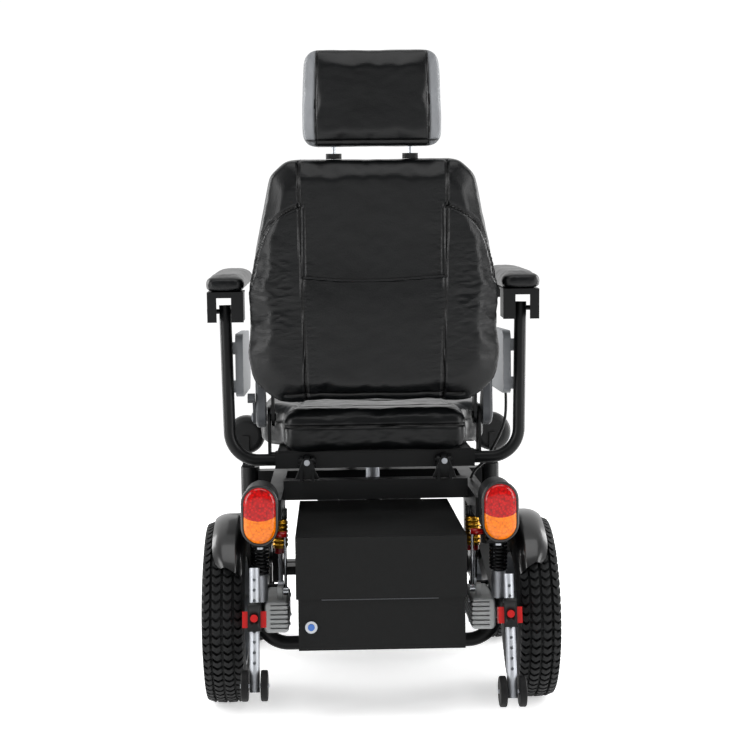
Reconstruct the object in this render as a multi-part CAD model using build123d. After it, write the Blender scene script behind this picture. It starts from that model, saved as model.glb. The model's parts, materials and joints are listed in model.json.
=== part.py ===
"""Outdoor power wheelchair: sprung rear axle, tilting captain seat, swivel front casters.

Millimetres. +X is the user's right, +Y is forwards, +Z is up. While it is drawn, Y = 0 is the
rear axle and Z = 0 is the ground; every node is then moved so that the origin is the middle of
the finished outline on the ground.
"""
from build123d import *
from math import cos, radians, sin, tan
import os

# ---- driving dimensions ------------------------------------------------------------------
RUN = 0.05                # radial running clearance of pins and slides

WHEEL_R = 178.0           # 14 inch rear tyre
TYRE_W = 84.0
WHEEL_X = 300.0           # middle of a rear wheel
RIM_R = 106.0
SHAFT_R = 10.0

CASTER_R = 130.0          # 10 inch front tyre
CASTER_W = 72.0
CASTER_X = 281.0
CASTER_Y = 520.0          # swivel axis
CASTER_TRAIL = 55.0
CASTER_RIM_R = 70.0
STEM_R = 12.0
BARREL_R = 22.0
BARREL_LOW, BARREL_HIGH = 290.0, 398.0

RAIL_IN, RAIL_OUT = 190.0, 220.0      # chassis side rails
RAIL_LOW, RAIL_HIGH = 365.0, 405.0
RAIL_REAR, RAIL_FRONT = -50.0, 500.0

LAMP_X, LAMP_Y, LAMP_Z, LAMP_R = 292.0, 545.0, 468.0, 45.0

ARM_IN, ARM_OUT = 226.0, 250.0        # rear swing arms
ARM_MID = (ARM_IN + ARM_OUT) / 2
PIVOT_Y, PIVOT_Z = 250.0, 235.0       # swing pivot
PIVOT_R = 12.0
ARM_BAR = (186.0, 210.0)              # bar that carries the anti-tip socket
CRADLE_X, CRADLE_Y, CRADLE_R = 241.0, 50.0, 14.0
CRADLE_LOW, CRADLE_TOP = 98.0, 165.0

BOX_X = 157.0             # battery tray half width
BOX_REAR, BOX_FRONT = -165.0, 280.0
BOX_LOW, BOX_SPLIT, BOX_TOP = 137.0, 235.0, 352.0
WALL = 3.0
BUTTON_X, BUTTON_Z = -133.0, 182.0

LIGHT_X, LIGHT_Z = 228.0, 389.0       # tail light middle
LIGHT_W, LIGHT_H = 66.0, 112.0
LIGHT_FRONT, LIGHT_RIM, LIGHT_REAR = -50.0, -125.0, -142.0

LEG_RAKE = 14.0           # anti-tip legs lean back
LEG_Y, LEG_Z = -185.0, 205.0          # middle of the socket
LEG_R = 9.5
LEG_ABOVE, LEG_BELOW = 93.0, 122.0    # tube top and wheel axle, measured from the socket
LEG_PITCH = 19.0          # one notch
NOTCH_R = 2.9             # notch holes, drilled into the rear wall only
ANTITIP_R, ANTITIP_W = 28.5, 13.0

SHOCK_X, SHOCK_Y = 232.0, -60.0
SHOCK_TOP, SPRING_LOW, SPRING_HIGH = 318.0, 262.0, 314.0
DAMPER_X, DAMPER_Y, DAMPER_EYE = 198.0, 95.0, 205.0

TILT_Y, TILT_Z = 110.0, 459.0         # seat tilt pivot
PAN_LOW, PAN_HIGH = 477.0, 480.0      # seat pan
LIFT_Y, LIFT_R = 318.0, 15.0          # lift actuator

TUBE_R = 12.5             # armrest tube
POST_Y, POST_LOW_X, POST_HIGH_X = 145.0, 300.0, 306.0
POST_BASE, POST_BEND, POST_TOP = 460.0, 60.0, 783.0
FLIP_Z = 770.0            # armrest flip-up pivot
ARMREST_SLOPE = 3.5

RECLINE_Y, RECLINE_Z = 165.0, 548.0
BACK_LEAN = 5.0
BACK_DEPTH = 105.0
HEAD_POST_X, HEAD_POST_R = 77.5, 5.0

LEGREST_Y, LEGREST_Z = 612.0, 452.0
CALF_Y = 632.0            # back of the calf pads
TUBE_FOOT_Y = 628.0       # lower end of the hanger tubes
FOOT_Y, FOOT_Z = 650.0, 100.0         # footplate hinge
FOOT_HALF, FOOT_FRONT = 105.0, 800.0


# ---- small helpers -----------------------------------------------------------------------
def block(x, y, z):
    """Box from three (low, high) pairs."""
    size = [hi - lo for lo, hi in (x, y, z)]
    middle = [(hi + lo) / 2 for lo, hi in (x, y, z)]
    return Pos(*middle) * Box(*size)


def bar_x(x, y, z, radius):
    """Cylinder along X from x[0] to x[1]."""
    return Pos((x[0] + x[1]) / 2, y, z) * Rot(0, 90, 0) * Cylinder(radius, x[1] - x[0])


def bar_y(x, y, z, radius):
    """Cylinder along Y from y[0] to y[1]."""
    return Pos(x, (y[0] + y[1]) / 2, z) * Rot(90, 0, 0) * Cylinder(radius, y[1] - y[0])


def bar_z(x, y, z, radius):
    """Cylinder along Z from z[0] to z[1]."""
    return Pos(x, y, (z[0] + z[1]) / 2) * Cylinder(radius, z[1] - z[0])


def side_plate(x, *shapes):
    """Plate between two X planes whose Y-Z outline is the hull of the given shapes."""
    edges = [edge for shape in shapes for edge in shape.edges()]
    return extrude(Plane.YZ.offset(x[0]) * make_hull(edges), x[1] - x[0])


def disc(y, z, radius):
    """Circle in a side outline."""
    return Pos(y, z) * Circle(radius)


def strip(y, z):
    """Rectangle in a side outline."""
    return Pos((y[0] + y[1]) / 2, (z[0] + z[1]) / 2) * Rectangle(y[1] - y[0], z[1] - z[0])


def both(part):
    """The part and its mirror image on the other side."""
    return [part, mirror(part, Plane.YZ)]


def turned_x(part, angle, y, z):
    """The part turned about an axis along X."""
    return Pos(0, y, z) * Rot(angle, 0, 0) * Pos(0, -y, -z) * part


def wheel_ring(x, y, z, inner, outer, width, shoulder):
    """Tyre of revolution with rounded shoulders, its axle along X."""
    profile = Pos((inner + outer) / 2, 0) * Rectangle(outer - inner, width)
    profile = fillet(profile.vertices().sort_by(Axis.X)[2:], shoulder)
    ring = revolve(Plane.XZ * profile, Axis.Z)
    return Pos(x, y, z) * Rot(0, 90, 0) * ring


# ---- chassis -----------------------------------------------------------------------------
def main_frame():
    frame = block((-RAIL_IN, RAIL_IN), (110, 150), (380, 420))
    frame += block((-RAIL_IN, RAIL_IN), (380, 410), (RAIL_LOW, RAIL_HIGH))
    frame += block((-262, 262), (500, 540), (350, 390))
    frame += block((-206, 206), (300, 330), (185, 215))
    frame += block((-120, 120), (BOX_FRONT, 300), (190, 210))
    for side in (1, -1):
        frame += chassis_side(side)
    return frame


def chassis_side(side):
    rail = block((RAIL_IN, RAIL_OUT), (RAIL_REAR, RAIL_FRONT), (RAIL_LOW, RAIL_HIGH))
    rail += block((206, RAIL_OUT), (225, 330), (185, RAIL_LOW))
    rail += bar_x((RAIL_OUT, ARM_OUT + 6), PIVOT_Y, PIVOT_Z, PIVOT_R)
    rail += block((RAIL_IN, 195), (170, 210), (222, RAIL_LOW))
    rail += block((BOX_X, 195), (170, 210), (222, 230))
    rail += block((209, 217), (-48, -20), (SHOCK_TOP, RAIL_LOW))
    rail += block((209, 246), (-74, -20), (SHOCK_TOP, SHOCK_TOP + 6))
    barrel = bar_z(CASTER_X, CASTER_Y, (BARREL_LOW, BARREL_HIGH), BARREL_R)
    barrel -= bar_z(CASTER_X, CASTER_Y, (BARREL_LOW, BARREL_HIGH - 8), STEM_R + RUN)
    part = rail + barrel + pivot_bracket()
    return part if side > 0 else mirror(part, Plane.YZ)


def pivot_bracket():
    """Clevis on the rear beam for the seat's tilt pin."""
    cheek = [disc(TILT_Y, TILT_Z, 10), strip((TILT_Y - 26, TILT_Y + 26), (420, 424))]
    part = side_plate((126, 132), *cheek) + side_plate((150, 156), *cheek)
    return part + bar_x((123, 159), TILT_Y, TILT_Z, 5)


def battery_tray():
    tray = block((-BOX_X, BOX_X), (BOX_REAR, BOX_FRONT), (BOX_LOW, BOX_SPLIT + 15))
    tray -= block((WALL - BOX_X, BOX_X - WALL), (BOX_REAR + WALL, BOX_FRONT - WALL),
                  (BOX_LOW + WALL, BOX_SPLIT + 20))
    tray += block((-BOX_X, BOX_X), (BOX_FRONT - WALL, BOX_FRONT), (BOX_LOW, BOX_TOP - 4))
    return tray - bar_y(BUTTON_X, (BOX_REAR - 1, BOX_REAR + 5), BUTTON_Z, 9)


def battery_cover():
    """Deep cover, open below and in front, that slides off backwards."""
    half = BOX_X + 4
    cover = block((-half, half), (BOX_REAR - 5, BOX_FRONT + 1), (BOX_SPLIT, BOX_TOP))
    rear = cover.edges().group_by(Axis.Y)[0].filter_by(GeomType.LINE)
    cover = fillet(rear.filter_by(Axis.Z), 4)
    hollow = block((2.5 - half, half - 2.5), (BOX_REAR - 2.5, BOX_FRONT + 5),
                   (BOX_SPLIT - 1, BOX_TOP - 2.5))
    return cover - hollow


def batteries():
    return both(block((3, 149), (-140, 262), (BOX_LOW + WALL, 330)))


def motor_controller():
    box = block((-75, 75), (350, 485), (318, RAIL_LOW))
    for step in range(7):
        left = -66 + 20 * step
        box -= block((left, left + 12), (349, 486), (317, 330))
    return box


def button_bezel():
    ring = bar_y(BUTTON_X, (BOX_REAR - 3, BOX_REAR), BUTTON_Z, 11.5)
    ring += bar_y(BUTTON_X, (BOX_REAR, BOX_REAR + 20), BUTTON_Z, 9)
    return ring - bar_y(BUTTON_X, (BOX_REAR - 4, BOX_REAR + 17), BUTTON_Z, 6.5 + RUN)


def power_button():
    return bar_y(BUTTON_X, (BOX_REAR - 5, BOX_REAR + 12), BUTTON_Z, 6.5)


def pill(y_front, y_rear, width, height):
    """Upright capsule outline between two Y planes."""
    outline = Pos(LIGHT_X, LIGHT_Z) * SlotOverall(height, width, rotation=90)
    return extrude(Plane.XZ.offset(-y_front) * outline, y_front - y_rear)


def tail_light_housings():
    shell = pill(LIGHT_FRONT, LIGHT_RIM, LIGHT_W, LIGHT_H)
    shell -= pill(LIGHT_FRONT - WALL, LIGHT_RIM - 1, LIGHT_W - 6, LIGHT_H - 6)
    return both(shell)


def tail_light_lenses():
    lens = pill(LIGHT_RIM, LIGHT_REAR, LIGHT_W - 2, LIGHT_H - 2)
    lens = fillet(lens.edges().group_by(Axis.Y)[0], 8)
    hollow = pill(LIGHT_RIM + 1, LIGHT_REAR + 5, LIGHT_W - 9, LIGHT_H - 9)
    return both(lens - hollow)


def shock_tops():
    """Upper cap and rod of each coil shock."""
    cap = bar_z(SHOCK_X, SHOCK_Y, (SPRING_HIGH, SHOCK_TOP), 18)
    return both(cap + bar_z(SHOCK_X, SHOCK_Y, (250, SPRING_HIGH), 5))


def shock_springs():
    ring = bar_z(SHOCK_X, SHOCK_Y, (SPRING_LOW + 0.2, SPRING_HIGH - 0.2), 18)
    return both(ring - bar_z(SHOCK_X, SHOCK_Y, (SPRING_LOW - 1, SPRING_HIGH + 1), 11.5))


def damper_bodies():
    body = bar_z(DAMPER_X, DAMPER_Y, (285, 345), 14)
    for step in range(6):
        low = 289 + 9 * step
        body += bar_z(DAMPER_X, DAMPER_Y, (low, low + 5), 16)
    body += bar_z(DAMPER_X, DAMPER_Y, (345, RAIL_LOW), 15)
    body += bar_z(DAMPER_X, DAMPER_Y, (274, 285), 12)
    return both(body - bar_z(DAMPER_X, DAMPER_Y, (270, 330), 9))


def lift_actuator():
    tube = bar_z(0, LIFT_Y, (215, 385), 22)
    return tube - bar_z(0, LIFT_Y, (225, 386), LIFT_R + RUN)


# ---- rear suspension -----------------------------------------------------------------------
def swing_arms():
    arm = side_plate((ARM_IN, ARM_OUT), disc(0, WHEEL_R, 24), disc(PIVOT_Y, PIVOT_Z, 21))
    arm += block((ARM_MID - 6, ARM_MID + 6), (-160, -15), ARM_BAR)
    arm += bar_x((DAMPER_X - 9, ARM_IN), DAMPER_Y, DAMPER_EYE, 5)
    arm -= bar_z(CRADLE_X, CRADLE_Y, (140, CRADLE_TOP), CRADLE_R)
    arm -= bar_x((ARM_IN - 1, ARM_OUT + 1), 0, WHEEL_R, SHAFT_R + RUN)
    arm -= bar_x((ARM_IN - 1, ARM_OUT + 1), PIVOT_Y, PIVOT_Z, PIVOT_R + RUN)
    return both(arm)


def cradle_tube():
    """U tube under the batteries that joins the two arms."""
    corners = [(-CRADLE_X, CRADLE_TOP), (-CRADLE_X, CRADLE_LOW), (CRADLE_X, CRADLE_LOW),
               (CRADLE_X, CRADLE_TOP)]
    path = FilletPolyline(*[(x, CRADLE_Y, z) for x, z in corners], radius=60)
    return sweep(Plane(path @ 0, z_dir=path % 0) * Circle(CRADLE_R), path)


def drive_motors():
    """Finned gear motor each side, with the stand and pin of its freewheel lever."""
    motor = block((178, ARM_IN), (-62, 72), (146, 208))
    motor = fillet(motor.edges().filter_by(Axis.Y), 9)
    motor = fillet(motor.edges().group_by(Axis.Y)[0], 4)
    for step in range(6):
        low = 154 + 9 * step
        motor -= block((170, 214), (-70, -56), (low, low + 3))
        motor -= block((170, 183), (-70, 60), (low, low + 3))
    motor += bar_y(202, (72, 80), 178, 20)
    motor += block((191, 201), (-38, -22), (208, 231)) + bar_x((178, 191), -30, 222, 4)
    return both(motor)


def fenders():
    """Arched guard over each rear wheel on its flat stay."""
    guard = bar_x((263, 321), 0, WHEEL_R, 193) - bar_x((262, 322), 0, WHEEL_R, 190)
    rear, front = radians(140), radians(28)
    reach = 400
    wedge = Polygon((0, 0), (reach * cos(front), reach * sin(front)), (reach, reach * 2),
                    (-reach, reach * 2), (reach * cos(rear), reach * sin(rear)), align=None)
    guard &= extrude(Plane.YZ.offset(250) * Pos(0, WHEEL_R) * wedge, 100)
    stay = block((ARM_OUT, 254), (-14, 14), (190, 368)) + block((250, 275), (-14, 14), (364, 368.5))
    return both(guard + stay)


def leg_frame(x):
    """Plane at the socket's middle: Z up the leg, Y across it."""
    return Pos(x, LEG_Y, LEG_Z) * Rot(-LEG_RAKE, 0, 0)


def antitip_sockets():
    """Clamp block with a release tab on each side."""
    body = Box(24, 34, 48) + Pos(0, 0, 24) * extrude(Plane.XY * Rectangle(24, 34), 5, taper=30)
    tab_pair = [Pos(side * 17, 0, -2) * Box(10, 26, 30) for side in (1, -1)]
    bore = Cylinder(LEG_R + RUN, 80)
    well = Pos(0, -14, 0) * Rot(90, 0, 0) * Cylinder(7.0 + RUN, 7)
    placed = leg_frame(ARM_MID) * (body - bore - well)
    placed += block((ARM_MID - 6, ARM_MID + 6), (-178, -160), (188, 208))
    placed -= leg_frame(ARM_MID) * bore
    solids = [placed] + [leg_frame(ARM_MID) * tab for tab in tab_pair]
    return solids + [mirror(solid, Plane.YZ) for solid in solids]


def socket_button(side):
    """Round red catch on the socket's rear face."""
    knob = leg_frame(ARM_MID) * Pos(0, -17, 0) * Rot(90, 0, 0) * Cylinder(7.0, 7)
    return knob if side > 0 else mirror(knob, Plane.YZ)


def antitip_leg(side):
    """Tube with notch holes, set one notch lower on the right."""
    drop = LEG_PITCH if side > 0 else 0.0
    top, axle = LEG_ABOVE - drop, -LEG_BELOW - drop
    tube = Pos(0, 0, (top + axle - 12) / 2) * Cylinder(LEG_R, top - axle + 12)
    for step in range(9):
        hole = top - 22 - LEG_PITCH * step
        tube -= Pos(0, -6, hole) * Rot(90, 0, 0) * Cylinder(NOTCH_R, 12)
    tube += Pos(0, 0, axle) * Rot(0, 90, 0) * Cylinder(4, 54)
    return leg_frame(side * ARM_MID) * tube


def antitip_wheels(side):
    drop = LEG_PITCH if side > 0 else 0.0
    solids = []
    for offset in (-18, 18):
        wheel = Pos(offset, 0, 0) * Rot(0, 90, 0) * Cylinder(ANTITIP_R, ANTITIP_W)
        wheel = fillet(wheel.edges().filter_by(GeomType.CIRCLE), 3)
        wheel -= Rot(0, 90, 0) * Cylinder(4 + RUN, 80)
        solids.append(leg_frame(side * ARM_MID) * Pos(0, 0, -LEG_BELOW - drop) * wheel)
    return solids


def shock_bodies():
    """Lower cylinder of each coil shock, standing on the arm's bar."""
    tube = bar_z(SHOCK_X, SHOCK_Y, (ARM_BAR[1], SPRING_LOW), 14)
    return tube - bar_z(SHOCK_X, SHOCK_Y, (225, 270), 10.5)


def damper_rod():
    rod = bar_z(DAMPER_X, DAMPER_Y, (DAMPER_EYE, 305), 5)
    rod += bar_x((DAMPER_X - 6, DAMPER_X + 6), DAMPER_Y, DAMPER_EYE, 11)
    return rod - bar_x((DAMPER_X - 20, DAMPER_X + 20), DAMPER_Y, DAMPER_EYE, 5)


def shock_lower_ends():
    return both(shock_bodies()) + both(damper_rod())


def brake_lever(side):
    """Freewheel lever: hub on the motor, upright rod, grip turned outwards."""
    lever = bar_x((179, 189), -30, 222, 8)
    lever += bar_z(184, -30, (222, 334), 3)
    lever += bar_x((181, 206), -30, 334, 6)
    lever -= bar_x((170, 200), -30, 222, 4 + RUN)
    return lever if side > 0 else mirror(lever, Plane.YZ)


# ---- wheels ------------------------------------------------------------------------------
def rear_tyre(side):
    return wheel_ring(side * WHEEL_X, 0, WHEEL_R, RIM_R, WHEEL_R, TYRE_W, 24)


def rear_rim(side):
    """Pressed rim with round windows, its hub and drive shaft in one."""
    low, high, hub_in = WHEEL_X - 36, WHEEL_X + 36, ARM_OUT + 6
    rim = bar_x((low, high), 0, WHEEL_R, RIM_R) - bar_x((low - 1, high + 1), 0, WHEEL_R, RIM_R - 7)
    rim += bar_x((WHEEL_X - 14, WHEEL_X - 6), 0, WHEEL_R, RIM_R - 6)
    rim += bar_x((hub_in, WHEEL_X + 26), 0, WHEEL_R, 30)
    for step in range(6):
        angle = radians(60 * step)
        rim -= bar_x((WHEEL_X - 24, WHEEL_X + 6), 66 * cos(angle), WHEEL_R + 66 * sin(angle), 17)
    rim += bar_x((ARM_IN + 2, hub_in), 0, WHEEL_R, SHAFT_R)
    return rim if side > 0 else mirror(rim, Plane.YZ)


def caster_fork(side):
    """Stem, crown and two legs round the caster wheel, with its axle."""
    axle_y = CASTER_Y - CASTER_TRAIL
    fork = bar_z(CASTER_X, CASTER_Y, (275, BARREL_HIGH - 12), STEM_R)
    fork += block((CASTER_X - 50, CASTER_X + 50), (445, 545), (268, 284))
    for low, high in ((42, 50), (-50, -42)):
        foot = [disc(axle_y, CASTER_R, 17), strip((450, 530), (268, 270))]
        fork += side_plate((CASTER_X + low, CASTER_X + high), *foot)
    fork += bar_x((CASTER_X - 54, CASTER_X + 54), axle_y, CASTER_R, 6)
    return fork if side > 0 else mirror(fork, Plane.YZ)


def caster_tyre(side):
    axle_y = CASTER_Y - CASTER_TRAIL
    return wheel_ring(side * CASTER_X, axle_y, CASTER_R, CASTER_RIM_R, CASTER_R, CASTER_W, 20)


def caster_rim(side):
    axle_y = CASTER_Y - CASTER_TRAIL
    low, high = CASTER_X - 32, CASTER_X + 32
    rim = bar_x((low, high), axle_y, CASTER_R, CASTER_RIM_R)
    rim -= bar_x((low - 1, CASTER_X - 5), axle_y, CASTER_R, 62)
    rim -= bar_x((CASTER_X + 5, high + 1), axle_y, CASTER_R, 62)
    rim += bar_x((CASTER_X - 38, CASTER_X + 38), axle_y, CASTER_R, 16)
    rim -= bar_x((CASTER_X - 60, CASTER_X + 60), axle_y, CASTER_R, 6 + RUN)
    return rim if side > 0 else mirror(rim, Plane.YZ)


# ---- seat --------------------------------------------------------------------------------
def seat_frame():
    frame = block((-207, 207), (POST_Y - 17, POST_Y + 17), (443, PAN_LOW))
    frame += block((-203, 203), (560, 585), (452, PAN_LOW))
    frame += block((-200, 200), (130, 585), (PAN_LOW, PAN_HIGH))
    for side in (1, -1):
        frame += seat_side(side)
    bores = bar_x((120, 225), POST_Y, POST_BASE, TUBE_R + RUN)
    return frame - bores - mirror(bores, Plane.YZ)


def seat_side(side):
    rail = block((178, 203), (150, 585), (452, PAN_LOW))
    ear = [disc(TILT_Y, TILT_Z, 11), strip((TILT_Y, POST_Y - 15), (446, 472))]
    rail += side_plate((136, 146), *ear) - bar_x((130, 150), TILT_Y, TILT_Z, 5 + RUN)
    upright = [disc(RECLINE_Y, RECLINE_Z, 22), strip((140, 200), (455, 470))]
    rail += side_plate((217, 222), *upright) + block((203, 217), (180, 200), (455, 470))
    rail += bar_x((205, 217), RECLINE_Y, RECLINE_Z, 8)
    ear = [disc(LEGREST_Y, LEGREST_Z, 12), strip((585, 588), (452, 476))]
    rail += side_plate((66, 72), *ear) + bar_x((55, 66), LEGREST_Y, LEGREST_Z, 6)
    return rail if side > 0 else mirror(rail, Plane.YZ)


def cushion_plan():
    """Seat outline seen from above: narrow between the recliners, wide in front."""
    right = [(186, 100), (192, 210), (240, 262), (248, 400), (236, 600)]
    outline = Polygon(*right, *[(-x, y) for x, y in reversed(right)], align=None)
    return fillet(outline.vertices(), 24)


def seat_cushion():
    pad = extrude(Pos(0, 0, PAN_HIGH + 0.5) * cushion_plan(), 82)
    return fillet(pad.edges().group_by(Axis.Z)[-1], 16)


def armrest_posts():
    """Bent tube each side: plugged into the seat frame, up outside the seat."""
    corner_x = POST_LOW_X
    points = [(125, POST_Y, POST_BASE), (corner_x, POST_Y, POST_BASE), (POST_HIGH_X, POST_Y, POST_TOP)]
    path = FilletPolyline(*points, radius=POST_BEND)
    tube = sweep(Plane(path @ 0, z_dir=path % 0) * Circle(TUBE_R), path)
    return both(tube - bar_x((280, 330), POST_Y, FLIP_Z, 5 + RUN))


def side_guards():
    """Plastic side panel between cushion and armrest."""
    outline = Polygon((162, 590), (430, 590), (452, 640), (400, 722), (162, 722), align=None)
    outline = fillet(outline.vertices(), 20)
    panel = extrude(Plane.YZ.offset(272) * outline, 16)
    panel += block((288, 302), (157.8, 180), (600, 625)) + block((288, 302), (157.8, 180), (680, 705))
    return both(panel)


def recliner_covers():
    """Leaf-shaped plastic cover outside each recliner, the left one with the lever's stud."""
    leaf = [disc(RECLINE_Y, 562, 36), disc(RECLINE_Y - 22, 630, 7)]
    cover = side_plate((226, 246), *leaf)
    cover = fillet(cover.edges().group_by(Axis.X)[-1], 7)
    return both(cover) + [mirror(bar_x((245, 253), RECLINE_Y, RECLINE_Z, 6), Plane.YZ)]


def headlights():
    """Round lamp on a bracket over each caster barrel, lens to the front."""
    body = bar_y(LAMP_X, (LAMP_Y, LAMP_Y + 45), LAMP_Z, LAMP_R)
    body = fillet(body.edges().group_by(Axis.Y)[0], 16)
    body += block((LAMP_X - 8, LAMP_X + 8), (LAMP_Y - 5, LAMP_Y + 3), (BARREL_HIGH, LAMP_Z))
    body += block((CASTER_X - 10, CASTER_X + 19), (CASTER_Y - 10, LAMP_Y), (BARREL_HIGH, BARREL_HIGH + 4))
    return both(body)


def recline_lever():
    """Pull lever with a round knob on the left recliner."""
    lever = side_plate((247, 252), disc(RECLINE_Y, RECLINE_Z, 14), disc(RECLINE_Y - 30, 590, 8))
    lever += bar_x((247, 262), RECLINE_Y - 30, 590, 10)
    lever -= bar_x((240, 270), RECLINE_Y, RECLINE_Z, 6 + RUN)
    return mirror(lever, Plane.YZ)


# ---- backrest ------------------------------------------------------------------------------
def lean(part):
    return turned_x(part, BACK_LEAN, RECLINE_Y, RECLINE_Z)


def back_outline():
    right = [(183, 588), (217, 628), (248, 692), (253, 815), (238, 905), (207, 1048), (172, 1080)]
    outline = Polygon(*right, *[(-x, z) for x, z in reversed(right)], align=None)
    return fillet(outline.vertices(), 26)


def seat_back():
    rear = 100.0
    pad = extrude(Plane.XZ.offset(-rear - BACK_DEPTH) * back_outline(), BACK_DEPTH)
    pad = fillet(pad.edges().group_by(Axis.Y)[0] + pad.edges().group_by(Axis.Y)[-1], 14)
    for side in (1, -1):
        pad -= bar_z(side * HEAD_POST_X, 150, (1000, 1100), HEAD_POST_R + 1)
        pad -= block(sorted((side * 207.5, side * 214.5)), (139, 191), (580, 700))
    return lean(pad)


def back_arms():
    """Steel arms from the recliner pins up into the backrest."""
    arm = side_plate((208, 214), disc(RECLINE_Y, RECLINE_Z, 20), strip((140, 190), (680, 699)))
    arm -= bar_x((200, 220), RECLINE_Y, RECLINE_Z, 8 + RUN)
    return [lean(part) for part in both(arm)]


def headrest_guides():
    guide = block((HEAD_POST_X - 16, HEAD_POST_X + 16), (139, 161), (1080, 1091))
    guide = fillet(guide.edges().filter_by(Axis.Z), 8)
    guide -= bar_z(HEAD_POST_X, 150, (1070, 1100), HEAD_POST_R + RUN)
    return [lean(part) for part in both(guide)]


def headrest():
    outline = Pos(0, 1200) * RectangleRounded(278, 192, 26)
    pad = extrude(Plane.XZ.offset(-195) * outline, 92)
    pad = fillet(pad.edges().group_by(Axis.Y)[0] + pad.edges().group_by(Axis.Y)[-1], 18)
    for side in (1, -1):
        pad -= bar_z(side * HEAD_POST_X, 150, (1090, 1180), HEAD_POST_R)
    return lean(pad)


def headrest_posts():
    return [lean(part) for part in both(bar_z(HEAD_POST_X, 150, (1010, 1180), HEAD_POST_R))]


# ---- armrests ------------------------------------------------------------------------------
def slope(part):
    """Armrest parts rise a little towards the front."""
    return turned_x(part, ARMREST_SLOPE, POST_Y, FLIP_Z)


def armrest_bracket(side):
    """Folded channel round the post's head, with a bar under the pad."""
    low_x, high_x, rear = 266.0, 340.0, POST_Y - 38
    part = block((low_x, high_x), (rear, POST_Y + 30), (808, 812))
    part += block((low_x, high_x), (rear, rear + 3), (750, 812))
    for cheek in ((low_x, low_x + 4), (high_x - 4, high_x)):
        part += block(cheek, (rear, POST_Y + 16), (752, 812))
    part -= block((POST_HIGH_X - 15, POST_HIGH_X + 15), (rear - 1, rear + 4), (740, 800))
    part += block((POST_HIGH_X - 14, POST_HIGH_X + 14), (POST_Y + 20, 500), (806, 812))
    part += bar_x((low_x, high_x), POST_Y, FLIP_Z, 5)
    part = slope(part)
    return part if side > 0 else mirror(part, Plane.YZ)


def armrest_pad(side):
    pad = block((264, 342), (100, 468), (812, 842))
    pad = fillet(pad.edges().filter_by(Axis.Z), 20)
    pad = fillet(pad.edges().group_by(Axis.Z)[-1], 12)
    pad = slope(pad)
    return pad if side > 0 else mirror(pad, Plane.YZ)


def joystick_housing():
    """Control box in front of the right armrest pad, with a well for the stick."""
    box = block((276, 336), (476, 566), (768, 806))
    box = fillet(box.edges().filter_by(Axis.Z), 12)
    box = fillet(box.edges().group_by(Axis.Z)[-1], 5)
    box -= bar_z(306, 535, (780, 810), 18)
    return slope(box)


def joystick_stick():
    stick = bar_z(306, 535, (789, 812), 4) + Pos(306, 535, 788) * Sphere(7)
    stick += bar_x((297, 315), 535, 788, 4)
    knob = bar_z(306, 535, (810, 832), 10)
    knob = fillet(knob.edges().group_by(Axis.Z)[-1], 5)
    return slope(stick + knob)


# ---- legrest -------------------------------------------------------------------------------
def legrest_frame():
    """Centre hanger: sleeve on the seat's stubs, two tubes, a cross plate and a foot hinge."""
    sleeve = bar_x((-65, 65), LEGREST_Y, LEGREST_Z, 13)
    frame = sleeve + bar_x((-58, 58), FOOT_Y, FOOT_Z, 9)
    frame += block((-50, 50), (TUBE_FOOT_Y, FOOT_Y), (FOOT_Z - 8, FOOT_Z + 8))
    for x in (-42, 42):
        path = Line((x, LEGREST_Y, LEGREST_Z), (x, TUBE_FOOT_Y, FOOT_Z))
        frame += sweep(Plane(path @ 0, z_dir=path % 0) * Circle(11), path)
    frame += block((-118, 118), (CALF_Y - 6, CALF_Y), (330, 375))
    for side in (1, -1):
        frame -= bar_x(sorted((side * 50, side * 70)), LEGREST_Y, LEGREST_Z, 6 + RUN)
    return frame - bar_x((-60, 60), FOOT_Y, FOOT_Z, 5 + RUN)


def calf_pads():
    pad = block((26, 132), (CALF_Y, CALF_Y + 34), (292, 398))
    pad = fillet(pad.edges().filter_by(Axis.Y), 14)
    return both(fillet(pad.edges().group_by(Axis.Y)[-1], 10))


def footplate():
    plate = block((-FOOT_HALF, FOOT_HALF), (FOOT_Y + 12, FOOT_FRONT), (FOOT_Z - 6, FOOT_Z + 6))
    plate = fillet(plate.edges().filter_by(Axis.Z), 18)
    for x in ((60, 68), (-68, -60)):
        plate += side_plate(x, disc(FOOT_Y, FOOT_Z, 9), strip((FOOT_Y + 12, FOOT_Y + 20), (95, 105)))
    return plate + bar_x((-68, 68), FOOT_Y, FOOT_Z, 5)


def lift_rod():
    rod = bar_z(0, LIFT_Y, (240, PAN_LOW - 0.5 - LIFT_R), LIFT_R)
    return rod + Pos(0, LIFT_Y, PAN_LOW - 0.5 - LIFT_R) * Sphere(LIFT_R)


def joystick_cable():
    """Lead from the right side panel down behind the post and in under the seat."""
    route = [(280, 190, 589), (281, 191, 556), (276, 188, 524), (262, 184, 494), (246, 182, 466),
             (230, 188, 441), (212, 200, 424), (206, 206, 406.5)]
    radii = corner_radii(route)
    print("cable corner radii", [round(radius, 1) for radius in radii])
    path = FilletPolyline(*route, radius=radii)
    cable = sweep(Plane(path @ 0, z_dir=path % 0) * Circle(3), path)
    print("cable volume / (section x length)", cable.volume / (28.274 * path.length))
    return cable


def corner_radii(route):
    """Largest comfortable arc at each inner corner of a cable's route."""
    points = [Vector(*point) for point in route]
    radii = []
    for before, corner, after in zip(points, points[1:], points[2:]):
        turn = radians((corner - before).get_angle(after - corner))
        radii.append(0.45 * min((corner - before).length, (after - corner).length) / tan(turn / 2))
    return radii


# ---- all nodes -----------------------------------------------------------------------------
def sided(name, maker):
    """Left and right nodes of one kind."""
    return {f"{name}_left": maker(-1), f"{name}_right": maker(1)}


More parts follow.
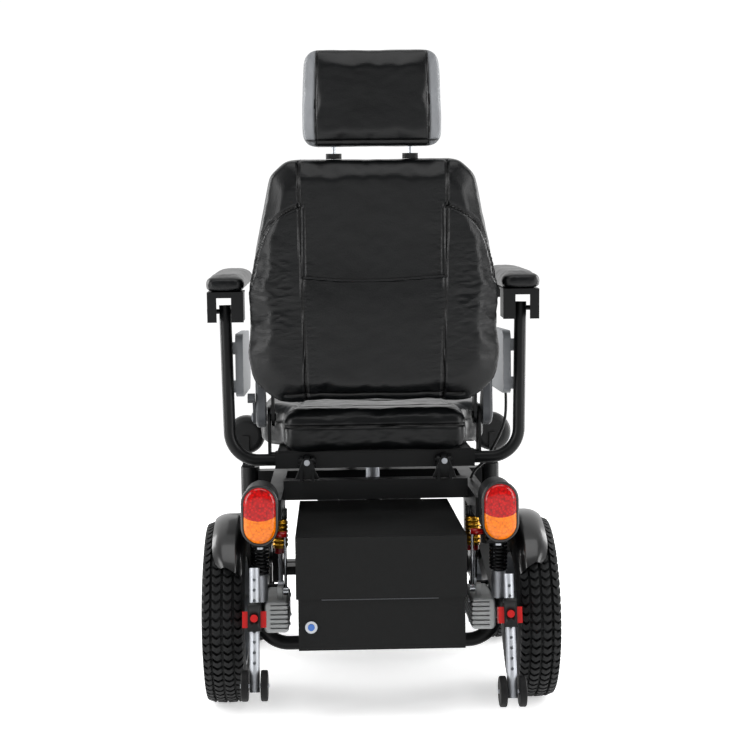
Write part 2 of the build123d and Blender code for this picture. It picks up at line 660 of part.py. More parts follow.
def all_nodes():
    nodes = {
        "main_frame": main_frame(), "battery_tray": battery_tray(),
        "battery_cover": battery_cover(), "batteries": batteries(),
        "motor_controller": motor_controller(), "button_bezel": button_bezel(),
        "power_button": power_button(), "tail_light_housings": tail_light_housings(),
        "tail_light_lenses": tail_light_lenses(), "shock_tops": shock_tops(),
        "shock_springs": shock_springs(), "damper_bodies": damper_bodies(),
        "lift_actuator": lift_actuator(), "lift_rod": lift_rod(),
        "swing_arms": swing_arms(), "cradle_tube": cradle_tube(),
        "drive_motors": drive_motors(), "fenders": fenders(),
        "antitip_sockets": antitip_sockets(), "shock_lower_ends": shock_lower_ends(),
        "seat_frame": seat_frame(), "seat_cushion": seat_cushion(),
        "armrest_posts": armrest_posts(), "side_guards": side_guards(),
        "recliner_covers": recliner_covers(), "headlights": headlights(),
        "recline_lever": recline_lever(),
        "seat_back": seat_back(), "back_arms": back_arms(),
        "headrest_guides": headrest_guides(), "headrest": headrest(),
        "headrest_posts": headrest_posts(), "joystick_housing": joystick_housing(),
        "joystick_stick": joystick_stick(), "legrest_frame": legrest_frame(),
        "calf_pads": calf_pads(), "footplate": footplate(), "joystick_cable": joystick_cable(),
    }
    makers = {
        "socket_button": socket_button, "antitip_leg": antitip_leg,
        "antitip_wheels": antitip_wheels, "brake_lever": brake_lever, "rear_tyre": rear_tyre,
        "rear_rim": rear_rim, "caster_fork": caster_fork, "caster_tyre": caster_tyre,
        "caster_rim": caster_rim, "armrest_bracket": armrest_bracket, "armrest_pad": armrest_pad,
    }
    for name, maker in makers.items():
        nodes.update(sided(name, maker))
    return nodes


def main():
    os.makedirs("parts", exist_ok=True)
    nodes = {}
    for name, made in all_nodes().items():
        nodes[name] = Compound(made) if isinstance(made, list) else Compound([made])
    boxes = [node.bounding_box() for node in nodes.values()]
    rear = min(box.min.Y for box in boxes)
    front = max(box.max.Y for box in boxes)
    origin_y = (rear + front) / 2
    print("outline from", round(rear, 3), "to", round(front, 3), "origin at Y", round(origin_y, 3))
    for name, node in nodes.items():
        export_step(Pos(0, -origin_y, 0) * node, f"parts/{name}.step")


main()
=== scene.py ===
"""Looks of an outdoor power wheelchair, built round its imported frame.

Every size is in metres in the frame's own axes: +X is the user's right, +Y forwards, +Z up.
"""
import json
import math

import bmesh
import bpy
import numpy as np
from mathutils import Matrix, Vector, noise
from mathutils.bvhtree import BVHTree


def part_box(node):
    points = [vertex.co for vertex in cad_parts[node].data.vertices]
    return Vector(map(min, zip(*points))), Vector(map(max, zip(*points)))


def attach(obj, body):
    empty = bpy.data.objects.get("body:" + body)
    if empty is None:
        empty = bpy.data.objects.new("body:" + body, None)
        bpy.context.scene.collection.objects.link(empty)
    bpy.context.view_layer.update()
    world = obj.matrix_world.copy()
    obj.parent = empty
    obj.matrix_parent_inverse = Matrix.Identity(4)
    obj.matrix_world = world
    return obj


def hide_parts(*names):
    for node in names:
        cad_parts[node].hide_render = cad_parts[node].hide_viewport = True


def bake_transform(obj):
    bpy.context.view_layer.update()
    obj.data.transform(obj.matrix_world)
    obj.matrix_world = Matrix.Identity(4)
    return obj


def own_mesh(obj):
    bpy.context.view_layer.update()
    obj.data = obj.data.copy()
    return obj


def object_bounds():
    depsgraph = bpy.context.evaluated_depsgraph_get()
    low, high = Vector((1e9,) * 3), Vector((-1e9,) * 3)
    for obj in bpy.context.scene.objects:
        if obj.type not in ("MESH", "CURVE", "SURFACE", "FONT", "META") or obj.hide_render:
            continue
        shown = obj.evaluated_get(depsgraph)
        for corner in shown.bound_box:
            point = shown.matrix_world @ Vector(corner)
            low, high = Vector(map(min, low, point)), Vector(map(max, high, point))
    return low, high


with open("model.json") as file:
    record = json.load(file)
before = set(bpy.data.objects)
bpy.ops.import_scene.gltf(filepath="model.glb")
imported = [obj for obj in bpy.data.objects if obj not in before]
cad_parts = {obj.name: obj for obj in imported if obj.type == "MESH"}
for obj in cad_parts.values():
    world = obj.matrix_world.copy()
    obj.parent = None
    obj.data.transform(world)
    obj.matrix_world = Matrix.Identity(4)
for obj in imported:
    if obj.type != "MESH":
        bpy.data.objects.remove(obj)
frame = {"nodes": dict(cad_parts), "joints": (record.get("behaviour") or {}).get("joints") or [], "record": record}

bl_info = {
    "name": "Power wheelchair looks",
    "version": (1, 0, 0),
    "blender": (4, 5, 0),
    "location": "View3D > Sidebar > Wheelchair",
    "description": "Upholstery, tyres, lamps, springs and finishes for a power wheelchair",
    "category": "Object",
}

MM = 0.001
CAD_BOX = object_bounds()
NODES = frame["nodes"]
JOINTS = {joint["name"]: joint for joint in frame["joints"]}
SIDES = {"left": -1, "right": 1}


# ---- places taken from the frame -----------------------------------------------------------
def middle(node):
    """Middle of a node's box."""
    low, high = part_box(node)
    return (low + high) / 2


def joint_at(name):
    """A joint's point in the frame."""
    return Vector(JOINTS[name]["pos_m"])


REAR_AXLE = joint_at("drive_wheel_right_spin")
RECLINE = joint_at("backrest_recline")
BACK_AXIS = Vector(JOINTS["headrest_height"]["axis"])
LEAN = Matrix.Rotation(math.atan2(-BACK_AXIS.y, BACK_AXIS.z), 4, "X")
LEAN_ABOUT_PIVOT = Matrix.Translation(RECLINE) @ LEAN @ Matrix.Translation(-RECLINE)


# ---- mesh helpers ----------------------------------------------------------------------------
def linked(name, data):
    """New object in the scene that holds a mesh, curve, lamp or camera."""
    holder = bpy.data.objects.new(name, data)
    bpy.context.scene.collection.objects.link(holder)
    return holder


def mesh_of(work, name):
    """Mesh made from a bmesh, which is then freed."""
    mesh = bpy.data.meshes.new(name)
    work.to_mesh(mesh)
    work.free()
    return mesh


def plain_mesh(name, verts, edges=(), faces=()):
    """Mesh from plain lists of points, edges and faces."""
    mesh = bpy.data.meshes.new(name)
    mesh.from_pydata([tuple(v) for v in verts], list(edges), [tuple(f) for f in faces])
    return mesh


def piece_from(name, verts, faces, made, smooth=True):
    """New object from vertices and faces, its normals made to point outwards."""
    mesh = plain_mesh(name, verts, faces=faces)
    work = bmesh.new()
    work.from_mesh(mesh)
    bmesh.ops.remove_doubles(work, verts=work.verts, dist=1e-6)
    bmesh.ops.recalc_face_normals(work, faces=work.faces)
    work.to_mesh(mesh)
    work.free()
    return show(name, mesh, made, smooth)


def show(name, mesh, made, smooth=True):
    """Object that shows a mesh in one finish."""
    piece = linked(name, mesh)
    mesh.materials.clear()
    mesh.materials.append(made)
    if smooth:
        mesh.shade_smooth()
    else:
        mesh.shade_flat()
    return piece


def baked(piece, name=None):
    """Plain mesh copy of a piece with its modifiers applied."""
    graph = bpy.context.evaluated_depsgraph_get()
    mesh = bpy.data.meshes.new_from_object(piece.evaluated_get(graph))
    mesh.name = name or piece.name
    return mesh


def settle(piece):
    """Applies a piece's modifiers."""
    mesh = baked(piece)
    piece.modifiers.clear()
    old = piece.data
    piece.data = mesh
    if old.users == 0 and isinstance(old, bpy.types.Mesh):
        bpy.data.meshes.remove(old)
    return piece


def by_angle(piece, degrees=35.0):
    """Smooth faces with creases kept at hard edges."""
    piece.data.shade_smooth()
    piece.data.set_sharp_from_angle(angle=math.radians(degrees))
    return piece


def joined(name, pieces):
    """One object from several, each keeping its own finish."""
    finishes = []
    work = bmesh.new()
    for piece in pieces:
        start = len(work.faces)
        work.from_mesh(piece.data)
        work.faces.ensure_lookup_table()
        own = list(piece.data.materials)
        for face in work.faces[start:]:
            made = own[min(face.material_index, len(own) - 1)]
            if made not in finishes:
                finishes.append(made)
            face.material_index = finishes.index(made)
    mesh = mesh_of(work, name)
    for made in finishes:
        mesh.materials.append(made)
    for piece in pieces:
        bpy.data.objects.remove(piece)
    return linked(name, mesh)


def lathe_x(name, profile, centre, made, steps=96):
    """Closed ring turned about an X axis from (x, radius) points, which run round its section."""
    verts, faces, count = [], [], len(profile)
    for step in range(steps):
        angle = 2 * math.pi * step / steps
        for x, radius in profile:
            verts.append((centre[0] + x, centre[1] + radius * math.cos(angle),
                          centre[2] + radius * math.sin(angle)))
    for step in range(steps):
        here, there = step * count, (step + 1) % steps * count
        for i in range(count):
            j = (i + 1) % count
            faces.append((here + i, here + j, there + j, there + i))
    return piece_from(name, verts, faces, made)


def rounded_block(name, low, high, made, bevel=2 * MM, segments=3):
    """Box with rounded edges."""
    work = bmesh.new()
    bmesh.ops.create_cube(work, size=1.0)
    size = Vector(high) - Vector(low)
    bmesh.ops.scale(work, vec=size, verts=work.verts)
    bmesh.ops.translate(work, vec=(Vector(high) + Vector(low)) / 2, verts=work.verts)
    bmesh.ops.bevel(work, geom=work.edges[:], offset=bevel, segments=segments,
                    affect="EDGES", profile=0.5)
    return by_angle(show(name, mesh_of(work, name), made), 50)


def prism_y(name, outline, y_low, y_high, made, bevel=0.0, segments=3):
    """Solid between two Y planes with an (x, z) outline; both rims rounded."""
    work = bmesh.new()
    rims = []
    for y in (y_low, y_high):
        rims.append([work.verts.new((x, y, z)) for x, z in outline])
    ends = [work.faces.new(rims[0]), work.faces.new(rims[1])]
    count = len(outline)
    for i in range(count):
        j = (i + 1) % count
        work.faces.new((rims[0][i], rims[0][j], rims[1][j], rims[1][i]))
    bmesh.ops.recalc_face_normals(work, faces=work.faces)
    if bevel:
        rim_edges = [edge for end in ends for edge in end.edges]
        bmesh.ops.bevel(work, geom=rim_edges, offset=bevel, segments=segments,
                        affect="EDGES", profile=0.5)
    return show(name, mesh_of(work, name), made)


def tube(name, points, radius, made, smooth_path=True, sides=6):
    """Round tube with capped ends along points, on one smooth curve or straight runs."""
    line = bpy.data.curves.new(name, "CURVE")
    line.dimensions = "3D"
    line.bevel_depth = radius
    line.bevel_resolution = sides
    line.use_fill_caps = True
    line.resolution_u = 8
    spline = line.splines.new("NURBS" if smooth_path else "POLY")
    spline.points.add(len(points) - 1)
    for point, place in zip(spline.points, points):
        point.co = (*place, 1)
    if smooth_path:
        spline.order_u = 3
        spline.use_endpoint_u = True
    holder = linked(name, line)
    mesh = baked(holder, name)
    bpy.data.objects.remove(holder)
    return show(name, mesh, made)


def read_rows(items, key):
    """An (n, 3) array of one vector property of a mesh's vertices or faces."""
    flat = np.empty(len(items) * 3, np.float32)
    items.foreach_get(key, flat)
    return flat.reshape(-1, 3).astype(float)


def coordinates(mesh):
    """Vertex places as an (n, 3) array."""
    return read_rows(mesh.vertices, "co")


def set_coordinates(mesh, places):
    """Moves the vertices to an (n, 3) array of places."""
    mesh.vertices.foreach_set("co", places.astype(np.float32).ravel())
    mesh.update()


def surface_of(mesh):
    """Search tree of a mesh's surface, for rays."""
    return BVHTree.FromPolygons([v.co.copy() for v in mesh.vertices],
                                [tuple(p.vertices) for p in mesh.polygons])


def placed(piece, matrix):
    """The piece with a transform put into its mesh."""
    piece.data.transform(matrix)
    piece.data.update()
    return piece


def mirrored(piece, name):
    """Mirror image of a piece on the other side, with its faces still pointing outwards."""
    mesh = piece.data.copy()
    mesh.transform(Matrix.Scale(-1, 4, (1, 0, 0)))
    mesh.flip_normals()
    return linked(name, mesh)


def fitted(piece, body, replaces=()):
    """Puts a finished piece on its body and hides the nodes it stands for."""
    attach(piece, body)
    if replaces:
        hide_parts(*replaces)
    return piece


def rounded_outline(corners, radius, steps=6):
    """Closed (x, z) outline with each corner rounded by an arc-like curve."""
    outline, count = [], len(corners)
    for i, corner in enumerate(corners):
        here = Vector(corner)
        before, after = Vector(corners[i - 1]), Vector(corners[(i + 1) % count])
        reach = min(radius, 0.45 * (before - here).length, 0.45 * (after - here).length)
        start = here + (before - here).normalized() * reach
        end = here + (after - here).normalized() * reach
        for step in range(steps + 1):
            t = step / steps
            point = start.lerp(here, t).lerp(here.lerp(end, t), t)
            outline.append((point.x, point.y))
    return outline


# ---- node trees --------------------------------------------------------------------------------
def add(tree, kind, inputs=None, **settings):
    """Adds a node, sets its properties, and sets or links its inputs by name or number."""
    made = tree.nodes.new(kind)
    for key, value in settings.items():
        setattr(made, key, value)
    for key, value in (inputs or {}).items():
        if isinstance(value, bpy.types.NodeSocket):
            tree.links.new(value, made.inputs[key])
        else:
            made.inputs[key].default_value = value
    return made


def colour(code):
    """sRGB hex code as linear RGBA."""
    parts = [int(code[i:i + 2], 16) / 255 for i in (1, 3, 5)]
    linear = [c / 12.92 if c <= 0.04045 else ((c + 0.055) / 1.055) ** 2.4 for c in parts]
    return (*linear, 1.0)


def shades(code, darker, lighter):
    """Two linear colours a little darker and lighter than a hex code."""
    base = colour(code)
    return [(*[min(1.0, c * f) for c in base[:3]], 1.0) for f in (darker, lighter)]


def finish_base(name, roughness, metallic=0.0, **fixed):
    """Empty finish: tree, shader and the object coordinates its patterns are laid out on."""
    made = bpy.data.materials.new(name)
    made.use_nodes = True
    tree = made.node_tree
    tree.nodes.clear()
    shader = add(tree, "ShaderNodeBsdfPrincipled", {"Roughness": roughness, "Metallic": metallic})
    for key, value in fixed.items():
        shader.inputs[key.replace("_", " ")].default_value = value
    add(tree, "ShaderNodeOutputMaterial", {"Surface": shader.outputs[0]})
    place = add(tree, "ShaderNodeTexCoord").outputs["Object"]
    return made, tree, shader, place


def mottled(tree, shader, place, code, size_mm, spread=0.25, detail=4.0):
    """Colour that drifts a little over patches of the given size."""
    low, high = shades(code, 1 - spread, 1 + spread)
    patches = add(tree, "ShaderNodeTexNoise", {"Vector": place, "Scale": 1000 / size_mm,
                                               "Detail": detail})
    ramp = add(tree, "ShaderNodeValToRGB", {0: patches.outputs["Fac"]})
    ramp.color_ramp.elements[0].position = 0.3
    ramp.color_ramp.elements[1].position = 0.7
    ramp.color_ramp.elements[0].color = low
    ramp.color_ramp.elements[1].color = high
    tree.links.new(ramp.outputs["Color"], shader.inputs["Base Color"])
    return patches.outputs["Fac"], ramp.outputs["Color"]


def vary_roughness(tree, shader, factor, low, high):
    """Roughness that follows a pattern between two values."""
    span = add(tree, "ShaderNodeMapRange", {"Value": factor, "To Min": low, "To Max": high})
    tree.links.new(span.outputs["Result"], shader.inputs["Roughness"])


def relief(tree, shader, height, depth_mm, strength=1.0):
    """Bump of a real depth."""
    bump = add(tree, "ShaderNodeBump", {"Height": height, "Distance": depth_mm * MM,
                                        "Strength": strength})
    tree.links.new(bump.outputs["Normal"], shader.inputs["Normal"])


# ---- finishes ------------------------------------------------------------------------------
def pvc_leatherette(name="pvc_leatherette", code="#050607", glint=0.32):
    """Embossed PVC on a knitted back: a fine hide grain breaks its soft highlights into specks."""
    made, tree, shader, place = finish_base(name, glint, Specular_IOR_Level=0.24,
                                            Coat_Weight=0.04, Coat_Roughness=0.25)
    drift, shade = mottled(tree, shader, place, code, 90, 0.18)
    vary_roughness(tree, shader, drift, glint - 0.05, glint + 0.09)
    # the "seam" attribute is 1 down in a sewn seam; there the colour goes to near black, a painted shade in the
    # groove
    seam_shadow_mask = add(tree, "ShaderNodeAttribute", attribute_name="seam").outputs["Fac"]
    seam_shadow_colour = add(tree, "ShaderNodeMix", {0: seam_shadow_mask, 6: shade, 7: colour("#020202")},
               data_type="RGBA")
    tree.links.new(seam_shadow_colour.outputs[2], shader.inputs["Base Color"])
    # hide cells of about 1.6 mm with a 0.5 mm pore between them, drawn at 2.4 mm to show
    cells = add(tree, "ShaderNodeTexVoronoi", {"Vector": place, "Scale": 1000 / 2.4},
                feature="SMOOTH_F1")
    creases = add(tree, "ShaderNodeTexNoise", {"Vector": place, "Scale": 1000 / 14, "Detail": 6.0})
    blend = add(tree, "ShaderNodeMath", {0: cells.outputs["Distance"],
                                         1: creases.outputs["Fac"]}, operation="ADD")
    relief(tree, shader, blend.outputs[0], 0.35, 0.55)
    return made


def powder_coat(name, code, roughness=0.48, grit_mm=1.2, depth_mm=0.12):
    """Baked powder coat over steel: a fine orange-peel that spreads its highlights."""
    made, tree, shader, place = finish_base(name, roughness, Specular_IOR_Level=0.2)
    drift, _ = mottled(tree, shader, place, code, 60, 0.15)
    vary_roughness(tree, shader, drift, roughness - 0.05, roughness + 0.08)
    grit = add(tree, "ShaderNodeTexNoise", {"Vector": place, "Scale": 1000 / grit_mm,
                                            "Detail": 2.0})
    relief(tree, shader, grit.outputs["Fac"], depth_mm)
    return made


def moulded_plastic(name, code, roughness=0.5, grain_mm=1.0, depth_mm=0.05, gloss=0.35):
    """Injection-moulded plastic with the fine spark-eroded texture of its tool."""
    made, tree, shader, place = finish_base(name, roughness, Specular_IOR_Level=gloss, IOR=1.47)
    drift, _ = mottled(tree, shader, place, code, 45, 0.1)
    vary_roughness(tree, shader, drift, roughness - 0.04, roughness + 0.06)
    grain = add(tree, "ShaderNodeTexVoronoi", {"Vector": place, "Scale": 1000 / grain_mm})
    relief(tree, shader, grain.outputs["Distance"], depth_mm)
    return made


def gloss_plastic(name, code, roughness=0.16):
    """Polished moulding: near mirror, with a trace of dust that dulls it in patches."""
    made, tree, shader, place = finish_base(name, roughness, IOR=1.49, Coat_Weight=0.3,
                                            Coat_Roughness=0.08)
    drift, _ = mottled(tree, shader, place, code, 70, 0.12)
    vary_roughness(tree, shader, drift, roughness - 0.04, roughness + 0.14)
    ripple = add(tree, "ShaderNodeTexNoise", {"Vector": place, "Scale": 1000 / 35})
    relief(tree, shader, ripple.outputs["Fac"], 0.15, 0.3)
    return made


def bare_metal(name, code, roughness, grain_mm, depth_mm, stretch=(1, 1, 1)):
    """Bare or plated metal; the grain runs the way that it was drawn, cast or brushed."""
    made, tree, shader, place = finish_base(name, roughness, 1.0)
    drift, _ = mottled(tree, shader, place, code, 30, 0.12)
    vary_roughness(tree, shader, drift, roughness * 0.75, roughness * 1.35)
    lay = add(tree, "ShaderNodeMapping", {"Vector": place, "Scale": stretch})
    grain = add(tree, "ShaderNodeTexNoise", {"Vector": lay.outputs[0], "Scale": 1000 / grain_mm,
                                             "Detail": 3.0})
    relief(tree, shader, grain.outputs["Fac"], depth_mm)
    return made


def tyre_rubber(name, code):
    """Carbon-black rubber from a blasted mould, its colour drifting a little in patches."""
    made, tree, shader, place = finish_base(name, 0.62, Specular_IOR_Level=0.22, IOR=1.52)
    drift, _ = mottled(tree, shader, place, code, 25, 0.28)
    vary_roughness(tree, shader, drift, 0.52, 0.74)
    grit = add(tree, "ShaderNodeTexNoise", {"Vector": place, "Scale": 1000 / 1.5, "Detail": 3.0})
    relief(tree, shader, grit.outputs["Fac"], 0.12)
    return made


def lamp_lens():
    """Clear PMMA lens, red above and amber below; 5 mm prisms inside, bumped, with painted light and shade."""
    made, tree, shader, place = finish_base("pmma_lamp_lens", 0.08, IOR=1.49,
                                            Specular_IOR_Level=0.25, Coat_Weight=0.35,
                                            Coat_Roughness=0.02)
    low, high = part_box("tail_light_lenses")
    split = low.z + 0.41 * (high.z - low.z)
    centre_x = high.x - (high.z - low.z) * 0.29
    axes = add(tree, "ShaderNodeSeparateXYZ", {0: place})
    across = add(tree, "ShaderNodeMath", {0: axes.outputs[0]}, operation="ABSOLUTE")
    off = add(tree, "ShaderNodeMath", {0: across.outputs[0], 1: centre_x}, operation="SUBTRACT")
    bow = add(tree, "ShaderNodeMath", {0: off.outputs[0], 1: 2.0}, operation="POWER")
    drop = add(tree, "ShaderNodeMath", {0: bow.outputs[0], 1: -9.0, 2: axes.outputs[2]},
               operation="MULTIPLY_ADD")
    # the border between the colours bows down in the middle of each lens
    above = add(tree, "ShaderNodeMath", {0: drop.outputs[0], 1: split}, operation="GREATER_THAN")
    # 5 mm prisms: painted highlight in the middle of each prism and painted shade between them
    prisms = add(tree, "ShaderNodeTexVoronoi", {"Vector": place, "Scale": 1000 / 5.0},
                 distance="CHEBYCHEV")
    tint = add(tree, "ShaderNodeMix", {0: above.outputs[0], 6: colour("#F07C00"),
                                       7: colour("#C00505")}, data_type="RGBA")
    prism_shade_colour = add(tree, "ShaderNodeMix", {0: above.outputs[0], 6: colour("#C25A00"),
                                       7: colour("#6E0202")}, data_type="RGBA")
    prism_shading = add(tree, "ShaderNodeMapRange", {"Value": prisms.outputs["Distance"],
                                             "From Min": 0.15, "From Max": 0.75})
    shade = add(tree, "ShaderNodeMix", {0: prism_shading.outputs[0], 6: tint.outputs[2],
                                        7: prism_shade_colour.outputs[2]}, data_type="RGBA")
    tree.links.new(shade.outputs[2], shader.inputs["Base Color"])
    relief(tree, shader, prisms.outputs["Distance"], 0.5, 0.35)
    return made


def lamp_glass():
    """Fluted headlamp glass over a silvered reflector: pale, glossy, in 14 mm upright flutes."""
    made, tree, shader, place = finish_base("fluted_lamp_glass", 0.12, 0.6, Coat_Weight=1.0,
                                            Coat_Roughness=0.03)
    mottled(tree, shader, place, "#9DA2A8", 30, 0.2)
    flutes = add(tree, "ShaderNodeTexWave", {"Vector": place, "Scale": 1000 / 44},
                 wave_type="BANDS", bands_direction="X")
    relief(tree, shader, flutes.outputs["Fac"], 1.0, 0.6)
    return made


def studio_paper():
    """Seamless white background paper, lit through from below so that it stays white."""
    made, tree, shader, place = finish_base("background_paper", 0.85, Specular_IOR_Level=0.2,
                                            Emission_Color=colour("#FFFFFF"),
                                            Emission_Strength=0.5)
    mottled(tree, shader, place, "#FAFAFA", 400, 0.01)
    return made


FINISHES = {}


def finish(name):
    """The finish of that name, made once."""
    if name not in FINISHES:
        FINISHES[name] = FINISH_MAKERS[name]()
    return FINISHES[name]


FINISH_MAKERS = {
    "leatherette": pvc_leatherette,
    # the headrest gussets: paler leatherette, a painted sheen from the side lamps
    "gusset_sheen_leatherette": lambda: pvc_leatherette("pvc_leatherette_gusset_sheen", "#6A6C6F", 0.4),
    "thread": lambda: moulded_plastic("polyester_thread", "#17181A", 0.6, 0.8),
    "frame_coat": lambda: powder_coat("satin_powder_coat", "#08090A", 0.36, 2.0, 0.06),
    "box_coat": lambda: powder_coat("textured_powder_coat", "#070808", 0.6, 1.6, 0.3),
    "black_abs": lambda: moulded_plastic("black_moulded_abs", "#0C0D0E", 0.46),
    "grey_abs": lambda: moulded_plastic("dark_grey_abs", "#3E4043", 0.44),
    "pale_pp": lambda: moulded_plastic("pale_grey_polypropylene", "#8E9195", 0.42),
    "gloss_abs": lambda: gloss_plastic("gloss_black_abs", "#060607", 0.26),
    "zinc": lambda: bare_metal("bright_zinc_plated_steel", "#B4B7BC", 0.52, 6.0, 0.04, (1, 1, .15)),
    "chrome": lambda: bare_metal("polished_chrome_plate", "#979A9E", 0.17, 20.0, 0.02),
    "cast": lambda: bare_metal("cast_aluminium", "#B6B8B8", 0.58, 1.8, 0.2),
    "rim_paint": lambda: powder_coat("silver_rim_paint", "#7C7F83", 0.34, 1.5, 0.05),
    "tyre": lambda: tyre_rubber("carbon_black_rubber", "#0C0D0E"),
    "wheel_rubber": lambda: tyre_rubber("small_wheel_rubber", "#060607"),
    "cable_pvc": lambda: moulded_plastic("black_pvc_sheath", "#101112", 0.42, 2.0, 0.04),
    "lens": lamp_lens,
    "lamp_glass": lamp_glass,
    "red_abs": lambda: gloss_plastic("red_gloss_abs", "#A80C0C", 0.26),
    "blue_abs": lambda: gloss_plastic("blue_button_abs", "#0A56A6", 0.22),
    "gold": lambda: bare_metal("gold_anodised_aluminium", "#C4902C", 0.3, 2.5, 0.04),
    "spring_coat": lambda: powder_coat("gloss_spring_coat", "#101112", 0.24, 3.0, 0.04),
    "battery_pp": lambda: moulded_plastic("battery_case_polypropylene", "#202124", 0.5),
}

SLOT_FINISH = {
    "black_frame_paint": "frame_coat",
    "black_box_paint": "box_coat",
    "black_moulded_plastic": "black_abs",
    "dark_grey_plastic": "grey_abs",
    "light_grey_plastic": "pale_pp",
    "glossy_black_plastic": "gloss_abs",
    "black_leatherette": "leatherette",
    "zinc_tube": "zinc",
    "chrome_rod": "chrome",
    "cast_aluminium": "cast",
    "painted_rim": "rim_paint",
    "tyre_rubber": "tyre",
    "small_wheel_rubber": "wheel_rubber",
    "cable_rubber": "cable_pvc",
    "lens_red_amber": "lens",
    "red_plastic": "red_abs",
    "blue_button": "blue_abs",
    "gold_anodised": "gold",
    "spring_steel": "spring_coat",
    "battery_case": "battery_pp",
}


# ---- geometry node trees -------------------------------------------------------------------------
def node_tree(name, sockets):
    """Empty geometry tree with named inputs, and the node that holds them."""
    tree = bpy.data.node_groups.new(name, "GeometryNodeTree")
    tree.interface.new_socket("Geometry", in_out="OUTPUT", socket_type="NodeSocketGeometry")
    tree.interface.new_socket("Geometry", in_out="INPUT", socket_type="NodeSocketGeometry")
    for label, kind in sockets:
        tree.interface.new_socket(label, in_out="INPUT", socket_type=f"NodeSocket{kind}")
    return tree, add(tree, "NodeGroupInput").outputs


def end_tree(tree, geometry, finish_socket):
    """Ends a tree with plain geometry in one finish."""
    real = add(tree, "GeometryNodeRealizeInstances", {"Geometry": geometry})
    dressed = add(tree, "GeometryNodeSetMaterial", {"Geometry": real.outputs[0],
                                                    "Material": finish_socket})
    add(tree, "NodeGroupOutput", {"Geometry": dressed.outputs[0]})
    return tree


def grown(name, tree, mesh, values):
    """Plain mesh object that a tree makes from a mesh, with its named inputs set."""
    seed = linked(name, mesh)
    growth = seed.modifiers.new("growth", "NODES")
    growth.node_group = tree
    for item in tree.interface.items_tree:
        if item.in_out == "INPUT" and item.name in values:
            growth[item.identifier] = values[item.name]
    grown_mesh = baked(seed, name)
    bpy.data.objects.remove(seed)
    return by_angle(linked(name, grown_mesh), 50)


def stitch_tree():
    """Short thread lengths along a path, one every Pitch."""
    tree, given = node_tree("stitches", [("Pitch", "Float"), ("Stitch", "Float"),
                                         ("Thread radius", "Float"), ("Finish", "Material")])
    path = add(tree, "GeometryNodeMeshToCurve", {"Mesh": given["Geometry"]})
    spots = add(tree, "GeometryNodeCurveToPoints", {"Curve": path.outputs[0],
                                                    "Length": given["Pitch"]}, mode="LENGTH")
    thread = add(tree, "GeometryNodeMeshCylinder", {"Vertices": 6,
                                                    "Radius": given["Thread radius"],
                                                    "Depth": given["Stitch"]})
    laid = add(tree, "GeometryNodeInstanceOnPoints", {"Points": spots.outputs["Points"],
                                                      "Instance": thread.outputs["Mesh"],
                                                      "Rotation": spots.outputs["Rotation"]})
    return end_tree(tree, laid.outputs[0], given["Finish"])


def ring_tree():
    """One form repeated round an axle that lies along X."""
    tree, given = node_tree("ring", [("Count", "Int"), ("Axle", "Vector"),
                                     ("Finish", "Material")])
    spots = add(tree, "GeometryNodePoints", {"Count": given["Count"], "Position": given["Axle"]})
    back = add(tree, "ShaderNodeVectorMath", {0: given["Axle"], "Scale": -1.0}, operation="SCALE")
    form = add(tree, "GeometryNodeTransform", {"Geometry": given["Geometry"],
                                               "Translation": back.outputs[0]})
    number = add(tree, "GeometryNodeInputIndex")
    part = add(tree, "ShaderNodeMath", {0: number.outputs[0], 1: given["Count"]},
               operation="DIVIDE")
    angle = add(tree, "ShaderNodeMath", {0: part.outputs[0], 1: 2 * math.pi},
                operation="MULTIPLY")
    turn = add(tree, "ShaderNodeCombineXYZ", {0: angle.outputs[0]})
    laid = add(tree, "GeometryNodeInstanceOnPoints", {"Points": spots.outputs[0],
                                                      "Instance": form.outputs[0],
                                                      "Rotation": turn.outputs[0]})
    return end_tree(tree, laid.outputs[0], given["Finish"])


def coil_tree():
    """Round wire wound into an upright coil spring."""
    tree, given = node_tree("coil", [("Turns", "Float"), ("Coil radius", "Float"),
                                     ("Height", "Float"), ("Wire radius", "Float"),
                                     ("Foot", "Vector"), ("Finish", "Material")])
    helix = add(tree, "GeometryNodeCurveSpiral", {"Resolution": 24, "Rotations": given["Turns"],
                                                  "Start Radius": given["Coil radius"],
                                                  "End Radius": given["Coil radius"],
                                                  "Height": given["Height"]})
    section = add(tree, "GeometryNodeCurvePrimitiveCircle", {"Resolution": 12,
                                                             "Radius": given["Wire radius"]})
    wire = add(tree, "GeometryNodeCurveToMesh", {"Curve": helix.outputs[0],
                                                 "Profile Curve": section.outputs[0],
                                                 "Fill Caps": True})
    raised = add(tree, "GeometryNodeTransform", {"Geometry": wire.outputs[0],
                                                 "Translation": given["Foot"]})
    return end_tree(tree, raised.outputs[0], given["Finish"])


def screw_tree():
    """Socket-head screw with its washer at each point, all turned the same way."""
    tree, given = node_tree("screws", [("Head radius", "Float"), ("Head height", "Float"),
                                       ("Turn", "Vector"), ("Finish", "Material")])
    head = add(tree, "GeometryNodeMeshCylinder", {"Vertices": 6, "Radius": given["Head radius"],
                                                  "Depth": given["Head height"]})
    wide = add(tree, "ShaderNodeMath", {0: given["Head radius"], 1: 1.35}, operation="MULTIPLY")
    thin = add(tree, "ShaderNodeMath", {0: given["Head height"], 1: 0.45}, operation="MULTIPLY")
    washer = add(tree, "GeometryNodeMeshCylinder", {"Vertices": 20, "Radius": wide.outputs[0],
                                                    "Depth": thin.outputs[0]})
    both = add(tree, "GeometryNodeJoinGeometry")
    for part in (washer, head):
        tree.links.new(part.outputs["Mesh"], both.inputs[0])
    laid = add(tree, "GeometryNodeInstanceOnPoints", {"Points": given["Geometry"],
                                                      "Instance": both.outputs[0],
                                                      "Rotation": given["Turn"]})
    return end_tree(tree, laid.outputs[0], given["Finish"])


TREES = {}


def grower(maker):
    """The tree that a maker builds, built once."""
    if maker not in TREES:
        TREES[maker] = maker()
    return TREES[maker]


